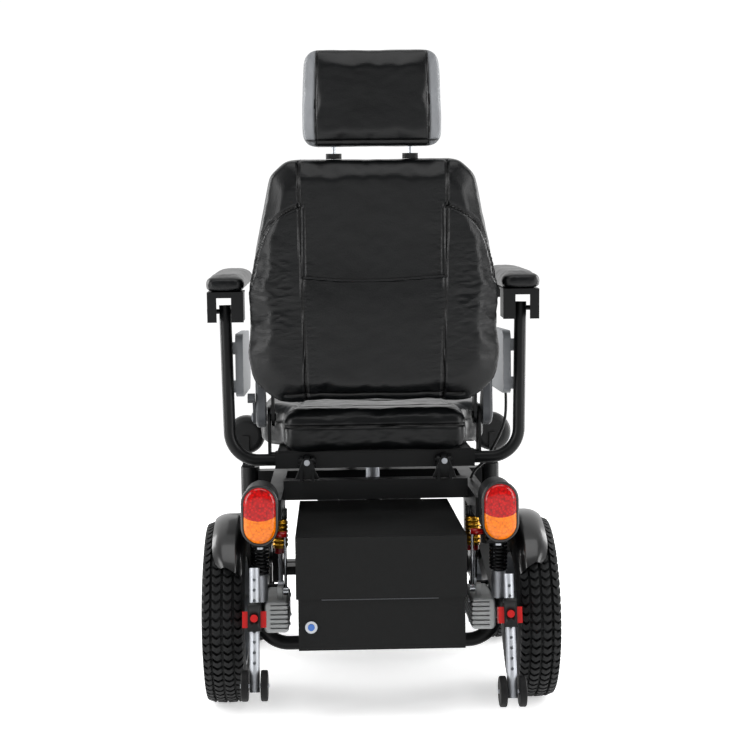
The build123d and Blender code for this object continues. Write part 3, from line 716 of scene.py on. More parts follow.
def path_mesh(name, points):
    """Mesh of one open line through points."""
    return plain_mesh(name, points, [(i, i + 1) for i in range(len(points) - 1)])


def screws(name, points, radius, height, turn, made):
    """A screw with its washer at each point."""
    return grown(name, grower(screw_tree), plain_mesh(name, points),
                 {"Head radius": radius, "Head height": height, "Turn": turn, "Finish": made})


# ---- padded pieces -------------------------------------------------------------------------------
class WheelchairUpholstery(bpy.types.PropertyGroup):
    voxel: bpy.props.FloatProperty(
        name="Cloth cell", description="Size of a cloth cell before it is divided once",
        default=5.6 * MM, unit="LENGTH")
    pressure: bpy.props.FloatProperty(
        name="Pressure", description="Pressure that swells each cover over its foam", default=4.0)
    swell: bpy.props.FloatProperty(
        name="Swell", description="Furthest that a cover may move out", default=14 * MM,
        unit="LENGTH")
    seam_depth: bpy.props.FloatProperty(
        name="Seam depth", description="How far a sewn seam pulls into the foam",
        default=3.6 * MM, unit="LENGTH")
    seam_width: bpy.props.FloatProperty(
        name="Seam width", description="Half width of the hollow beside a seam",
        default=3.2 * MM, unit="LENGTH")
    stitch_pitch: bpy.props.FloatProperty(
        name="Stitch pitch", description="Distance from one stitch to the next",
        default=5.5 * MM, unit="LENGTH")


def plain_copy(name, node, finish_name, keep=None, back=None):
    """Merged copy of a node's mesh, whole or only the loose parts that keep() accepts."""
    mesh = NODES[node].data.copy()
    work = bmesh.new()
    work.from_mesh(mesh)
    bmesh.ops.remove_doubles(work, verts=work.verts, dist=1e-5)
    if keep:
        todo = set(work.verts)
        while todo:
            island, front = set(), [todo.pop()]
            while front:
                vert = front.pop()
                island.add(vert)
                near = [edge.other_vert(vert) for edge in vert.link_edges]
                fresh = [other for other in near if other in todo]
                todo.difference_update(fresh)
                front.extend(fresh)
            centre = sum((vert.co for vert in island), Vector()) / len(island)
            if not keep(centre):
                bmesh.ops.delete(work, geom=list(island), context="VERTS")
    if back:
        bmesh.ops.transform(work, matrix=back, verts=work.verts)
    work.to_mesh(mesh)
    work.free()
    return show(name, mesh, finish(finish_name))


def swelled(piece, cloth_cell, inset, swell, pressure):
    """Cover over foam: starts a little small, is drawn as even cloth and blown up."""
    places = coordinates(piece.data)
    low, high = places.min(0), places.max(0)
    centre, half = (low + high) / 2, (high - low) / 2
    set_coordinates(piece.data, centre + (places - centre) * (1 - inset / half))
    grid = piece.modifiers.new("cells", "REMESH")
    grid.mode = "VOXEL"
    grid.voxel_size = cloth_cell
    ease = piece.modifiers.new("ease", "SMOOTH")
    ease.factor = 0.5
    ease.iterations = 12
    settle(piece)
    start = coordinates(piece.data)
    fabric = piece.modifiers.new("cloth", "CLOTH")
    fabric.settings.use_pressure = True
    fabric.settings.uniform_pressure_force = pressure
    fabric.settings.effector_weights.gravity = 0
    fabric.settings.quality = 4
    fabric.collision_settings.use_collision = False
    for step in range(1, 21):
        bpy.context.scene.frame_set(step)
    settle(piece)
    now = coordinates(piece.data)
    bpy.context.scene.frame_set(1)
    # a cover swells through its thickness; its outline is sewn and hardly moves
    thin = half.argmin()
    hold = np.full(3, 0.12)
    hold[thin] = 1.0
    move = (now - start) * hold
    far = np.linalg.norm(move, axis=1, keepdims=True)
    set_coordinates(piece.data, start + move * np.minimum(1, swell / np.maximum(far, 1e-9)))
    calm = piece.modifiers.new("calm", "SMOOTH")
    calm.factor = 0.5
    calm.iterations = 6
    finer = piece.modifiers.new("finer", "SUBSURF")
    finer.levels = 1
    finer.render_levels = 1
    settle(piece)
    grown_places = coordinates(piece.data)
    reach = np.abs(grown_places - centre).max(0)
    fit = half / reach
    fit[thin] = min(1.0, (half[thin] + swell * 0.6) / reach[thin])
    set_coordinates(piece.data, centre + (grown_places - centre) * fit)
    return piece


def curve_through(points, steps=8):
    """Even Catmull-Rom curve through points."""
    ends = [points[0], *points, points[-1]]
    out = []
    for i in range(1, len(ends) - 2):
        p0, p1, p2, p3 = (np.array(p, float) for p in ends[i - 1:i + 3])
        for t in np.linspace(0, 1, steps, endpoint=False):
            out.append(0.5 * (2 * p1 + (p2 - p0) * t + (2 * p0 - 5 * p1 + 4 * p2 - p3) * t ** 2
                              + (3 * p1 - p0 - 3 * p2 + p3) * t ** 3))
    return np.array(out + [np.array(points[-1], float)])


def distance_to(path, spots):
    """Distance of each 2-D spot from a polyline."""
    best = np.full(len(spots), np.inf)
    for a, b in zip(path[:-1], path[1:]):
        run = b - a
        along = np.clip(((spots - a) @ run) / max(run @ run, 1e-12), 0, 1)
        best = np.minimum(best, np.linalg.norm(spots - (a + along[:, None] * run), axis=1))
    return best


def smooth_step(value, low, high):
    """0 below low, 1 above high, with an eased rise between."""
    t = np.clip((value - low) / (high - low), 0, 1)
    return t * t * (3 - 2 * t)


def sewn(piece, paths, facing, depth, width, plane=(0, 2)):
    """Pulls the cover in along seams drawn on a plane, on the side that faces a direction."""
    places, out = coordinates(piece.data), read_rows(piece.data.vertices, "normal")
    seen = smooth_step(out @ np.array(facing, float), 0.05, 0.35)
    pull = np.zeros(len(places))
    for path in paths:
        far = distance_to(path, places[:, plane])
        pull = np.maximum(pull, np.exp(-(far / width) ** 2))
    set_coordinates(piece.data, places - out * (pull * seen * depth)[:, None])
    # the pull is kept in the "seam" attribute, which the leatherette turns into painted shade
    shade = piece.data.attributes.get("seam") or piece.data.attributes.new("seam", "FLOAT", "POINT")
    before = np.empty(len(places), np.float32)
    shade.data.foreach_get("value", before)
    shade.data.foreach_set("value", np.maximum(before, pull * seen).astype(np.float32))
    return piece


def creased(piece, amount, size, stretch, weight=None, seed=0.0):
    """Soft folds in the cover: stretched noise, strongest where weight() says."""
    places, out = coordinates(piece.data), read_rows(piece.data.vertices, "normal")
    scaled = places / (np.array(stretch) * size) + seed
    wave = np.array([noise.fractal(Vector(p), 0.6, 2.1, 3) for p in scaled])
    fold = -np.abs(wave) if weight else wave
    strength = weight(places) if weight else np.ones(len(places))
    set_coordinates(piece.data, places + out * (fold * strength * amount)[:, None])
    return piece


def on_surface(piece, path, facing, lift=0.0):
    """Points of a flat (x, z) path laid on the side of a piece that faces -Y or +Y."""
    tree = surface_of(piece.data)
    sign = 1 if facing > 0 else -1
    laid = []
    for x, z in path:
        hit = tree.ray_cast(Vector((x, sign * 5, z)), Vector((0, -sign, 0)))
        if hit[0]:
            laid.append(hit[0] + hit[1] * lift)
    return laid


def stitched(name, piece, paths, facing, sizes, lift=0.4 * MM):
    """Thread along each path, in the grooves' banks."""
    runs = []
    for number, path in enumerate(paths):
        laid = on_surface(piece, path, facing, lift)
        runs.append(grown(f"{name}_{number}", grower(stitch_tree),
                          path_mesh(name, laid),
                          {"Pitch": sizes.stitch_pitch, "Stitch": sizes.stitch_pitch * 0.62,
                           "Thread radius": 0.4 * MM, "Finish": finish("thread")}))
    return joined(name, runs)


def two_tone(piece, choose, other):
    """Gives the faces that choose() accepts a second finish."""
    piece.data.materials.append(other)
    picked = choose(read_rows(piece.data.polygons, "center")).astype(np.int32)
    piece.data.polygons.foreach_set("material_index", picked)
    piece.data.update()
    return piece


def offset_path(path, distance):
    """Path beside another, on one side of it."""
    run = np.gradient(path, axis=0)
    run /= np.linalg.norm(run, axis=1, keepdims=True)
    return path + np.stack([-run[:, 1], run[:, 0]], axis=1) * distance


class WHEELCHAIR_OT_seat_back(bpy.types.Operator):
    """Sews the seat back: centre panel with its pocket, shoulder panels and side bolsters"""
    bl_idname = "wheelchair.seat_back"
    bl_label = "Seat back"

    def execute(self, context):
        sizes = context.scene.wheelchair_upholstery
        back = plain_copy("seat_back_cover", "seat_back", "leatherette",
                          back=LEAN_ABOUT_PIVOT.inverted())
        whole = coordinates(back.data)
        low, high = whole.min(0), whole.max(0)
        half, foot, top = high[0], low[2], high[2]
        tall = top - foot
        swelled(back, sizes.voxel, 6 * MM, sizes.swell, sizes.pressure)

        panel_top, panel_foot = 0.59 * half, 0.56 * half
        hem, hem_sag = foot + 0.505 * tall, 8 * MM
        sides = [curve_through([(sign * panel_top, top + 10 * MM),
                                (sign * (panel_top - 1 * MM), foot + 0.72 * tall),
                                (sign * panel_foot, foot + 0.3 * tall),
                                (sign * (panel_foot - 2 * MM), foot - 5 * MM)])
                 for sign in (-1, 1)]
        bolsters = [curve_through([(sign * panel_top, foot + 0.815 * tall),
                                   (sign * 0.70 * half, foot + 0.79 * tall),
                                   (sign * 0.83 * half, foot + 0.735 * tall),
                                   (sign * 0.92 * half, foot + 0.64 * tall),
                                   (sign * 0.985 * half, foot + 0.5 * tall)])
                    for sign in (-1, 1)]
        mouth = curve_through([(-panel_top + 6 * MM, hem + hem_sag), (-0.28 * half, hem + 1 * MM),
                               (0.1 * half, hem), (panel_top - 6 * MM, hem + hem_sag)])
        foot_seam = np.array([(x, foot + 16 * MM) for x in np.linspace(-0.72, 0.72, 12) * half])

        places, out = coordinates(back.data), read_rows(back.data.vertices, "normal")
        x, z = np.abs(places[:, 0]), places[:, 2]
        rear = smooth_step(-out[:, 1], 0.1, 0.5)
        inside = 1 - smooth_step(x, panel_foot - 5 * MM, panel_foot + 3 * MM)
        mouth_height = np.interp(places[:, 0], mouth[:, 0], mouth[:, 1])
        pocket = smooth_step(mouth_height - z, -1.5 * MM, 1.5 * MM) * inside
        slack = np.exp(-((z - hem + 45 * MM) / (55 * MM)) ** 2) * inside
        bolster_line = np.interp(x, bolsters[1][:, 0], bolsters[1][:, 1])
        bolster = smooth_step(bolster_line - z, -4 * MM, 10 * MM) * (1 - inside)
        low_part = np.exp(-((z - foot - 0.09 * tall) / (0.11 * tall)) ** 2)
        behind = 1 - smooth_step(places[:, 1], low[1] + 0.25 * (high[1] - low[1]),
                                 low[1] + 0.75 * (high[1] - low[1]))
        places[:, 0] *= 1 + 0.11 * low_part * behind * smooth_step(x, 0.45 * half, 0.8 * half)
        puff = pocket * 2.6 * MM + slack * 2.2 * MM + bolster * 5.5 * MM
        hollow = np.exp(-((z - foot - 0.58 * tall) / (0.22 * tall)) ** 2) * inside * 5 * MM
        set_coordinates(back.data, places + out * ((puff - hollow) * rear)[:, None])
        sewn(back, sides, (0, -1, 0), sizes.seam_depth, sizes.seam_width)
        sewn(back, [*bolsters, foot_seam], (0, -1, 0), sizes.seam_depth, sizes.seam_width)
        front_panel = [curve_through([(sign * 0.58 * half, top - 10 * MM),
                                      (sign * 0.62 * half, foot + 0.5 * tall),
                                      (sign * 0.6 * half, foot + 8 * MM)]) for sign in (-1, 1)]
        channels = [np.array([(x0, foot + part * tall) for x0 in np.linspace(-0.6, 0.6, 12) * half])
                    for part in (0.3, 0.62)]
        sewn(back, [*front_panel, *channels], (0, 1, 0), sizes.seam_depth * 1.4,
             sizes.seam_width * 1.5)
        creased(back, 0.7 * MM, 80 * MM, (1.2, 1.0, 1.0))

        def near_bolsters(spots):
            """Folds gather at waist height on the bolsters' rear faces."""
            outer = smooth_step(np.abs(spots[:, 0]), panel_foot, 0.75 * half)
            outer *= 1 - smooth_step(spots[:, 1], low[1] + 0.1 * half, low[1] + 0.25 * half)
            return outer * np.exp(-((spots[:, 2] - foot - 0.46 * tall) / (0.2 * tall)) ** 2)
        creased(back, 3.2 * MM, 75 * MM, (1.2, 1.0, 0.5), near_bolsters, 3.0)

        def near_panel_seams(spots):
            """Small tucks beside the two panel seams."""
            gap = np.abs(np.abs(spots[:, 0]) - panel_foot)
            return np.exp(-(gap / (26 * MM)) ** 2)
        creased(back, 0.6 * MM, 26 * MM, (1.6, 1.0, 0.6), near_panel_seams, 7.0)

        thread = stitched("seat_back_stitches", back,
                          [offset_path(path, 5 * MM) for path in (*sides, *bolsters)],
                          -1, sizes)
        lip = tube("pocket_lip", on_surface(back, mouth, -1, 1.6 * MM)[::2], 2.6 * MM,
                   finish("leatherette"))
        for piece in (back, thread, lip):
            placed(piece, LEAN_ABOUT_PIVOT)
            fitted(piece, "backrest")
        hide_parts("seat_back")
        return {"FINISHED"}


class WHEELCHAIR_OT_headrest(bpy.types.Operator):
    """Sews the headrest: centre panel between two side gussets, whose paler leatherette is a painted sheen"""
    bl_idname = "wheelchair.headrest"
    bl_label = "Headrest"

    def execute(self, context):
        sizes = context.scene.wheelchair_upholstery
        rest = plain_copy("headrest_cover", "headrest", "leatherette",
                          back=LEAN_ABOUT_PIVOT.inverted())
        whole = coordinates(rest.data)
        low, high = whole.min(0), whole.max(0)
        half, foot, tall = high[0], low[2], high[2] - low[2]
        swelled(rest, sizes.voxel * 0.8, 4 * MM, 7 * MM, sizes.pressure)
        places = coordinates(rest.data)
        up = np.clip((places[:, 2] - foot) / tall, 0, 1)
        places[:, 0] *= 1.015 - 0.05 * up ** 2
        set_coordinates(rest.data, places)
        gusset = [curve_through([(sign * 0.815 * half, foot - 5 * MM),
                                 (sign * 0.825 * half, foot + 0.4 * tall),
                                 (sign * 0.785 * half, foot + tall + 5 * MM)])
                  for sign in (-1, 1)]
        sewn(rest, gusset, (0, -1, 0), sizes.seam_depth * 0.8, sizes.seam_width * 0.7)
        sewn(rest, gusset, (0, 1, 0), sizes.seam_depth * 0.8, sizes.seam_width * 0.7)
        sewn(rest, [np.array([(low[1] - 0.02, foot + 0.06 * tall),
                              (high[1] + 0.02, foot + 0.06 * tall)])],
             (0, -1, 0), sizes.seam_depth * 0.5, sizes.seam_width, plane=(1, 2))
        creased(rest, 0.5 * MM, 60 * MM, (1.4, 1.0, 0.9), seed=2.0)
        line = gusset[1]

        def painted_sheen_sides(spots):
            """True past the gusset seam, on either side, where the paler sheen is painted."""
            return np.abs(spots[:, 0]) > np.interp(spots[:, 2], line[:, 1], line[:, 0])
        # the paler leatherette on the gussets is a painted sheen
        two_tone(rest, painted_sheen_sides, finish("gusset_sheen_leatherette"))
        thread = stitched("headrest_stitches", rest,
                          [path - [np.sign(path[0][0]) * 5 * MM, 0] for path in gusset],
                          -1, sizes)
        for piece in (rest, thread):
            placed(piece, LEAN_ABOUT_PIVOT)
            fitted(piece, "headrest")
        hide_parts("headrest")
        return {"FINISHED"}


class WHEELCHAIR_OT_cushion(bpy.types.Operator):
    """Makes the seat cushion, with its border, cross and band seams"""
    bl_idname = "wheelchair.cushion"
    bl_label = "Seat cushion"

    def execute(self, context):
        sizes = context.scene.wheelchair_upholstery
        low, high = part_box("seat_cushion")
        cushion = plain_copy("seat_cushion_cover", "seat_cushion", "leatherette")
        swelled(cushion, sizes.voxel * 1.1, 6 * MM, 11 * MM, sizes.pressure)
        places = coordinates(cushion.data)
        places[:, 2] = np.maximum(places[:, 2], low.z)
        set_coordinates(cushion.data, places)
        depth = high.y - low.y
        border = curve_through([(-0.7 * high.x, low.y + 0.1 * depth),
                                (-0.62 * high.x, low.y + 0.35 * depth),
                                (-0.78 * high.x, low.y + 0.7 * depth),
                                (-0.7 * high.x, high.y - 0.1 * depth)])
        other = border * [-1, 1]
        cross = [np.array([(-0.66 * high.x, low.y + part * depth),
                           (0.66 * high.x, low.y + part * depth)])
                 for part in (0.16, 0.45, 0.74)]
        sewn(cushion, [border, other, *cross], (0, 0, 1), sizes.seam_depth * 1.3,
             sizes.seam_width * 1.5, plane=(0, 1))
        band = np.array([(low.x - 0.05, low.z + 0.62 * (high.z - low.z)),
                         (high.x + 0.05, low.z + 0.62 * (high.z - low.z))])
        sewn(cushion, [band], (0, -1, 0), sizes.seam_depth, sizes.seam_width)
        creased(cushion, 1.8 * MM, 55 * MM, (1.5, 1.0, 0.8), seed=5.0)
        fitted(cushion, "seat", ("seat_cushion",))
        return {"FINISHED"}


class WHEELCHAIR_OT_arm_pads(bpy.types.Operator):
    """Makes the crowned armrest pads, one made and the other its mirror image"""
    bl_idname = "wheelchair.arm_pads"
    bl_label = "Armrest pads"

    def execute(self, context):
        sizes = context.scene.wheelchair_upholstery
        pad = plain_copy("armrest_pad_cover_right", "armrest_pad_right", "leatherette")
        swelled(pad, 4.5 * MM, 2.5 * MM, 6 * MM, sizes.pressure)
        creased(pad, 0.7 * MM, 30 * MM, (1.0, 1.6, 1.0), seed=9.0)
        fitted(pad, "armrest_right", ("armrest_pad_right",))
        twin = mirrored(pad, "armrest_pad_cover_left")
        fitted(twin, "armrest_left", ("armrest_pad_left",))
        return {"FINISHED"}


class WHEELCHAIR_OT_calf_pads(bpy.types.Operator):
    """Makes the two calf pads"""
    bl_idname = "wheelchair.calf_pads"
    bl_label = "Calf pads"

    def execute(self, context):
        sizes = context.scene.wheelchair_upholstery
        pad = plain_copy("calf_pad_cover_right", "calf_pads", "leatherette",
                         keep=lambda centre: centre.x > 0)
        swelled(pad, 4.5 * MM, 2.5 * MM, 6 * MM, sizes.pressure)
        twin = mirrored(pad, "calf_pad_cover_left")
        for piece in (pad, twin):
            fitted(piece, "legrest", ("calf_pads",))
        return {"FINISHED"}


# ---- places on carried-over nodes ------------------------------------------------------------
def landed(node, spots, way):
    """Where rays from spots, sent one way, meet a node's surface."""
    tree = surface_of(NODES[node].data)
    hits = [tree.ray_cast(Vector(spot), Vector(way)) for spot in spots]
    return [hit[0] for hit in hits if hit[0]]


def screwed(name, node, spots, way, radius, height, made, body):
    """Screws with washers seated on a node's surface, their heads facing back along the ray."""
    seats = [spot - Vector(way) * 0.3 * height for spot in landed(node, spots, way)]
    if not seats:
        raise RuntimeError(f"no seat for {name} on {node}")
    turn = Vector(way).to_track_quat("Z", "Y").to_euler()
    piece = screws(name, seats, radius, height, turn, made)
    return fitted(piece, body)


def design(x, y, z):
    """Point given in millimetres with Y measured from the rear axle."""
    return Vector((x * MM, y * MM + REAR_AXLE.y, z * MM))


def dressed(piece, zones):
    """Gives the faces that each choose() accepts its own finish."""
    for _, made in zones:
        piece.data.materials.append(made)
    for face in piece.data.polygons:
        for number, (choose, _) in enumerate(zones):
            if choose(face.center):
                face.material_index = number + 1
    return piece


# ---- tyres -------------------------------------------------------------------------------------
class WheelchairTyres(bpy.types.PropertyGroup):
    lug_rows: bpy.props.IntProperty(
        name="Tread rows", description="Rows of blocks round a rear tyre", default=68, min=10)
    lug_height: bpy.props.FloatProperty(
        name="Block height", description="How far the tread blocks stand up",
        default=6.5 * MM, unit="LENGTH")
    caster_rows: bpy.props.IntProperty(
        name="Caster rows", description="Rows of shoulder blocks round a front tyre",
        default=44, min=10)


def tyre_section(half, outer, inner, tread_drop, bead):
    """Closed (x, radius) section: crowned tread, full shoulders, sidewall ribs and beads."""
    side = [(0, outer), (0.34 * half, outer - tread_drop * 0.12),
            (0.62 * half, outer - tread_drop * 0.45), (0.82 * half, outer - tread_drop),
            (0.93 * half, outer - tread_drop * 2), (0.97 * half, (outer + inner) / 2 + 4 * MM),
            (0.96 * half, (outer + inner) / 2 - 6 * MM),
            (0.90 * half, inner + 13 * MM), (0.92 * half, inner + 10.5 * MM),
            (0.84 * half, inner + 5 * MM), (bead, inner)]
    right = [tuple(p) for p in curve_through(side, 4)]
    left = [(-x, r) for x, r in reversed(right[1:])]
    return right + left


def lug_row(name, axle, half, outer, height, columns, pitch, made):
    """One row of C-shaped blocks across the tread, at the top of the wheel."""
    verts, faces = [], []
    for centre, width in columns:
        crown = outer - 7 * MM * abs(centre / half) ** 2.2
        long, bow = pitch * 0.33, pitch * 0.36
        spread = np.linspace(-1, 1, 7)
        upper = [(u, long - bow * (0.5 - abs(u) ** 1.4)) for u in spread]
        lower = [(u, -long - bow * (0.5 - abs(u) ** 1.4)) for u in reversed(spread)]
        outline = upper + lower
        start = len(verts)
        for inset, level in ((1.0, crown - height - 3 * MM), (0.94, crown - 0.9 * MM),
                             (0.84, crown)):
            for u, s in outline:
                x = centre + u * width * inset * 0.5
                lean = (x - centre) * np.sign(centre) * 0.62 * abs(centre / half) ** 1.6
                verts.append((axle.x + x, axle.y + s * (0.5 + 0.5 * inset),
                              axle.z + level - lean))
        count = len(outline)
        for ring in (0, 1):
            for i in range(count):
                j = (i + 1) % count
                a = start + ring * count
                faces.append((a + i, a + j, a + count + j, a + count + i))
        faces.append([start + 2 * count + i for i in range(count)])
        faces.append([start + i for i in reversed(range(count))])
    return piece_from(name, verts, faces, made, smooth=False)


def treaded(kind, side, body, rows, lug_height, groove, bead, blocks):
    """Fits one tyre: a turned carcass and the rows of blocks moulded round it."""
    made = finish("tyre")
    low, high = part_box(f"{kind}_tyre_{side}")
    axle = (low + high) / 2
    half, outer = (high.x - low.x) / 2, (high.z - low.z) / 2
    inner = max(v.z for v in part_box(f"{kind}_rim_{side}")) - axle.z
    section = tyre_section(half, outer - groove, inner, 9 * MM, bead * half)
    carcass = lathe_x(f"{kind}_carcass_{side}", section, axle, made)
    columns = [(part * half, width) for part, width in blocks]
    row = lug_row("lug_row", axle, half, outer - 0.2 * MM, lug_height, columns,
                  2 * math.pi * outer / rows, made)
    lugs = grown(f"{kind}_lugs_{side}", grower(ring_tree), row.data,
                 {"Count": rows, "Axle": axle, "Finish": made})
    bpy.data.objects.remove(row)
    tyre = joined(f"{kind}_tread_{side}", [carcass, lugs])
    fitted(tyre, f"{body}_{side}", (f"{kind}_tyre_{side}",))


class WHEELCHAIR_OT_rear_tyres(bpy.types.Operator):
    """Makes the rear tyres: a moulded carcass with four columns of curved tread blocks"""
    bl_idname = "wheelchair.rear_tyres"
    bl_label = "Rear tyres"

    def execute(self, context):
        sizes = context.scene.wheelchair_tyres
        blocks = [(-0.72, 15.5 * MM), (-0.25, 17.5 * MM), (0.25, 17.5 * MM), (0.72, 15.5 * MM)]
        for side in SIDES:
            treaded("rear", side, "drive_wheel", sizes.lug_rows, sizes.lug_height,
                    sizes.lug_height, 0.72, blocks)
        return {"FINISHED"}


class WHEELCHAIR_OT_caster_tyres(bpy.types.Operator):
    """Makes the front tyres: ribbed tread with shoulder blocks"""
    bl_idname = "wheelchair.caster_tyres"
    bl_label = "Caster tyres"

    def execute(self, context):
        sizes = context.scene.wheelchair_tyres
        blocks = [(-0.72, 14 * MM), (-0.24, 13 * MM), (0.24, 13 * MM), (0.72, 14 * MM)]
        for side in SIDES:
            treaded("caster", side, "caster_wheel", sizes.caster_rows, 4 * MM, 4 * MM, 0.75,
                    blocks)
        return {"FINISHED"}


class WHEELCHAIR_OT_wheel_bolts(bpy.types.Operator):
    """Adds the rim bolts"""
    bl_idname = "wheelchair.wheel_bolts"
    bl_label = "Wheel bolts"

    def execute(self, context):
        for side, sign in SIDES.items():
            for rim, body, radius in ((f"rear_rim_{side}", f"drive_wheel_{side}", 0.60),
                                      (f"caster_rim_{side}", f"caster_wheel_{side}", 0.55)):
                low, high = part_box(rim)
                axle = (low + high) / 2
                reach = radius * (high.z - low.z) / 2
                for face, way in (("outer", -sign), ("inner", sign)):
                    spot = Vector((axle.x - way * 0.2, axle.y, axle.z + reach))
                    seat = landed(rim, [spot], (way, 0, 0))
                    if not seat:
                        continue
                    turn = Vector((way, 0, 0)).to_track_quat("Z", "Y").to_euler()
                    one = screws("rim_bolt", seat, 5 * MM, 6 * MM, turn, finish("zinc"))
                    ring = grown(f"{rim}_bolts_{face}", grower(ring_tree), one.data,
                                 {"Count": 6, "Axle": axle, "Finish": finish("zinc")})
                    bpy.data.objects.remove(one)
                    fitted(ring, body)
        return {"FINISHED"}


# ---- fenders -----------------------------------------------------------------------------------
def fender_shell(name, side, axle, low, high, radius, made):
    """Crowned mudguard with a skirt on its inner side and rounded ends."""
    sign = SIDES[side]
    front, rear = math.radians(-58), math.radians(52)
    across = np.linspace(-1, 1, 25)
    along = np.linspace(0, 1, 57)
    middle_x, half = (low + high) / 2, (high - low) / 2
    layers = []
    for thick in (0.0, 3 * MM):
        for t in along:
            end = min(t, 1 - t)
            # the ends round off over the last 0.16 of the length
            full = math.sqrt(1 - (1 - min(1.0, end / 0.16)) ** 2 * 0.9)
            angle = front + (rear - front) * t
            for v in across:
                x = middle_x + sign * v * half * (0.18 + 0.82 * full if v > 0 else 1.0)
                skirt = 15 * MM * smooth_step(-v, 0.55, 1.0)
                fall = 9 * MM * max(0.0, v) ** 2.5 + 4 * MM * (1 - full) + skirt
                r = radius - fall - thick
                turn = angle - (0.10 * min(0, v) if t > 0.5 else 0)
                layers.append((x + (sign * thick * 0.6 * -np.sign(v) if abs(v) > 0.9 else 0),
                               axle.y - r * math.sin(turn), axle.z + r * math.cos(turn)))
    rows, cols = len(along), len(across)
    faces = []
    for layer in (0, 1):
        for i in range(rows - 1):
            for j in range(cols - 1):
                a = layer * rows * cols + i * cols + j
                faces.append((a, a + 1, a + cols + 1, a + cols))
    edge = [(0, j) for j in range(cols)] + [(i, cols - 1) for i in range(1, rows)]
    edge += [(rows - 1, j) for j in range(cols - 2, -1, -1)]
    edge += [(i, 0) for i in range(rows - 2, 0, -1)]
    loop = [i * cols + j for i, j in edge]
    for a, b in zip(loop, loop[1:] + loop[:1]):
        faces.append((a, b, b + rows * cols, a + rows * cols))
    return by_angle(piece_from(name, layers, faces, made), 60)


class WHEELCHAIR_OT_fenders(bpy.types.Operator):
    """Makes the crowned mudguards and their stays"""
    bl_idname = "wheelchair.fenders"
    bl_label = "Mudguards"

    def execute(self, context):
        _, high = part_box("fenders")
        axle = middle("rear_tyre_right")
        radius = high.z - axle.z
        # the mudguard starts just outside the tail light and ends where its node does
        inner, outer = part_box("tail_light_lenses")[1].x + 3 * MM, high.x
        for side, sign in SIDES.items():
            span = sorted((sign * inner, sign * outer))
            shell = fender_shell(f"mudguard_{side}", side, axle, *span, radius, finish("gloss_abs"))
            plate = sorted((sign * (inner - 13 * MM), sign * (inner - 9 * MM)))
            shelf = sorted((sign * (inner - 13 * MM), sign * (inner + 12 * MM)))
            under = axle.z + radius - 3 * MM
            stays = [rounded_block("stay", (plate[0], axle.y - 14 * MM, axle.z + 12 * MM),
                                   (plate[1], axle.y + 14 * MM, under), finish("frame_coat"),
                                   1 * MM),
                     rounded_block("stay_tab", (shelf[0], axle.y - 14 * MM, under - 4 * MM),
                                   (shelf[1], axle.y + 14 * MM, under), finish("frame_coat"),
                                   1 * MM)]
            whole = joined(f"mudguard_set_{side}", [shell, *stays])
            fitted(whole, "rear_axle", ("fenders",))
        return {"FINISHED"}


# ---- lamps, springs, sockets and levers ----------------------------------------------------------
def pill(centre_x, centre_z, half_width, half_height, steps=14):
    """Closed (x, z) outline of an upright pill."""
    straight = half_height - half_width
    outline = []
    for middle, start in ((straight, 0.0), (-straight, math.pi)):
        for angle in np.linspace(start, start + math.pi, steps):
            outline.append((centre_x + half_width * math.cos(angle),
                            centre_z + middle + half_width * math.sin(angle)))
    return outline


class WHEELCHAIR_OT_tail_lights(bpy.types.Operator):
    """Makes the domed two-colour lenses and their black bezels"""
    bl_idname = "wheelchair.tail_lights"
    bl_label = "Tail lights"

    def execute(self, context):
        low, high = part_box("tail_light_lenses")
        half_height = (high.z - low.z) / 2
        half_width = half_height * 0.58
        centre_x, centre_z = high.x - half_width, (low.z + high.z) / 2
        depth = high.y - low.y
        for side, sign in SIDES.items():
            x = sign * centre_x
            rings = []
            # domed face: the outline shrinks as the lens rises towards the rear
            steps = [(1.0, 1.0), (1.0, 0.62), (0.96, 0.4), (0.88, 0.24), (0.74, 0.12),
                     (0.52, 0.04), (0.3, 0.01), (0.1, 0.0)]
            for shrink, back in steps:
                inset = half_width * (1 - shrink)
                rings.append([(px, low.y + back * depth, pz) for px, pz in
                              pill(x, centre_z, half_width - inset - 0.8 * MM,
                                   half_height - inset - 0.8 * MM)])
            count = len(rings[0])
            verts = [v for ring in rings for v in ring]
            faces = [(r * count + i, r * count + (i + 1) % count,
                      (r + 1) * count + (i + 1) % count, (r + 1) * count + i)
                     for r in range(len(rings) - 1) for i in range(count)]
            faces += [tuple(range(count)), tuple((len(rings) - 1) * count + i
                                                 for i in range(count))]
            lens = by_angle(piece_from(f"tail_lens_{side}", verts, faces, finish("lens")), 60)
            fitted(lens, "chassis", ("tail_light_lenses",))
            rim_path = [(px, low.y + 0.62 * depth, pz) for px, pz in
                        pill(x, centre_z, half_width + 0.4 * MM, half_height + 0.4 * MM)]
            bezel = tube(f"tail_bezel_{side}", rim_path + rim_path[:1], 3.4 * MM,
                         finish("gloss_abs"), smooth_path=False, sides=3)
            fitted(bezel, "chassis")
        return {"FINISHED"}


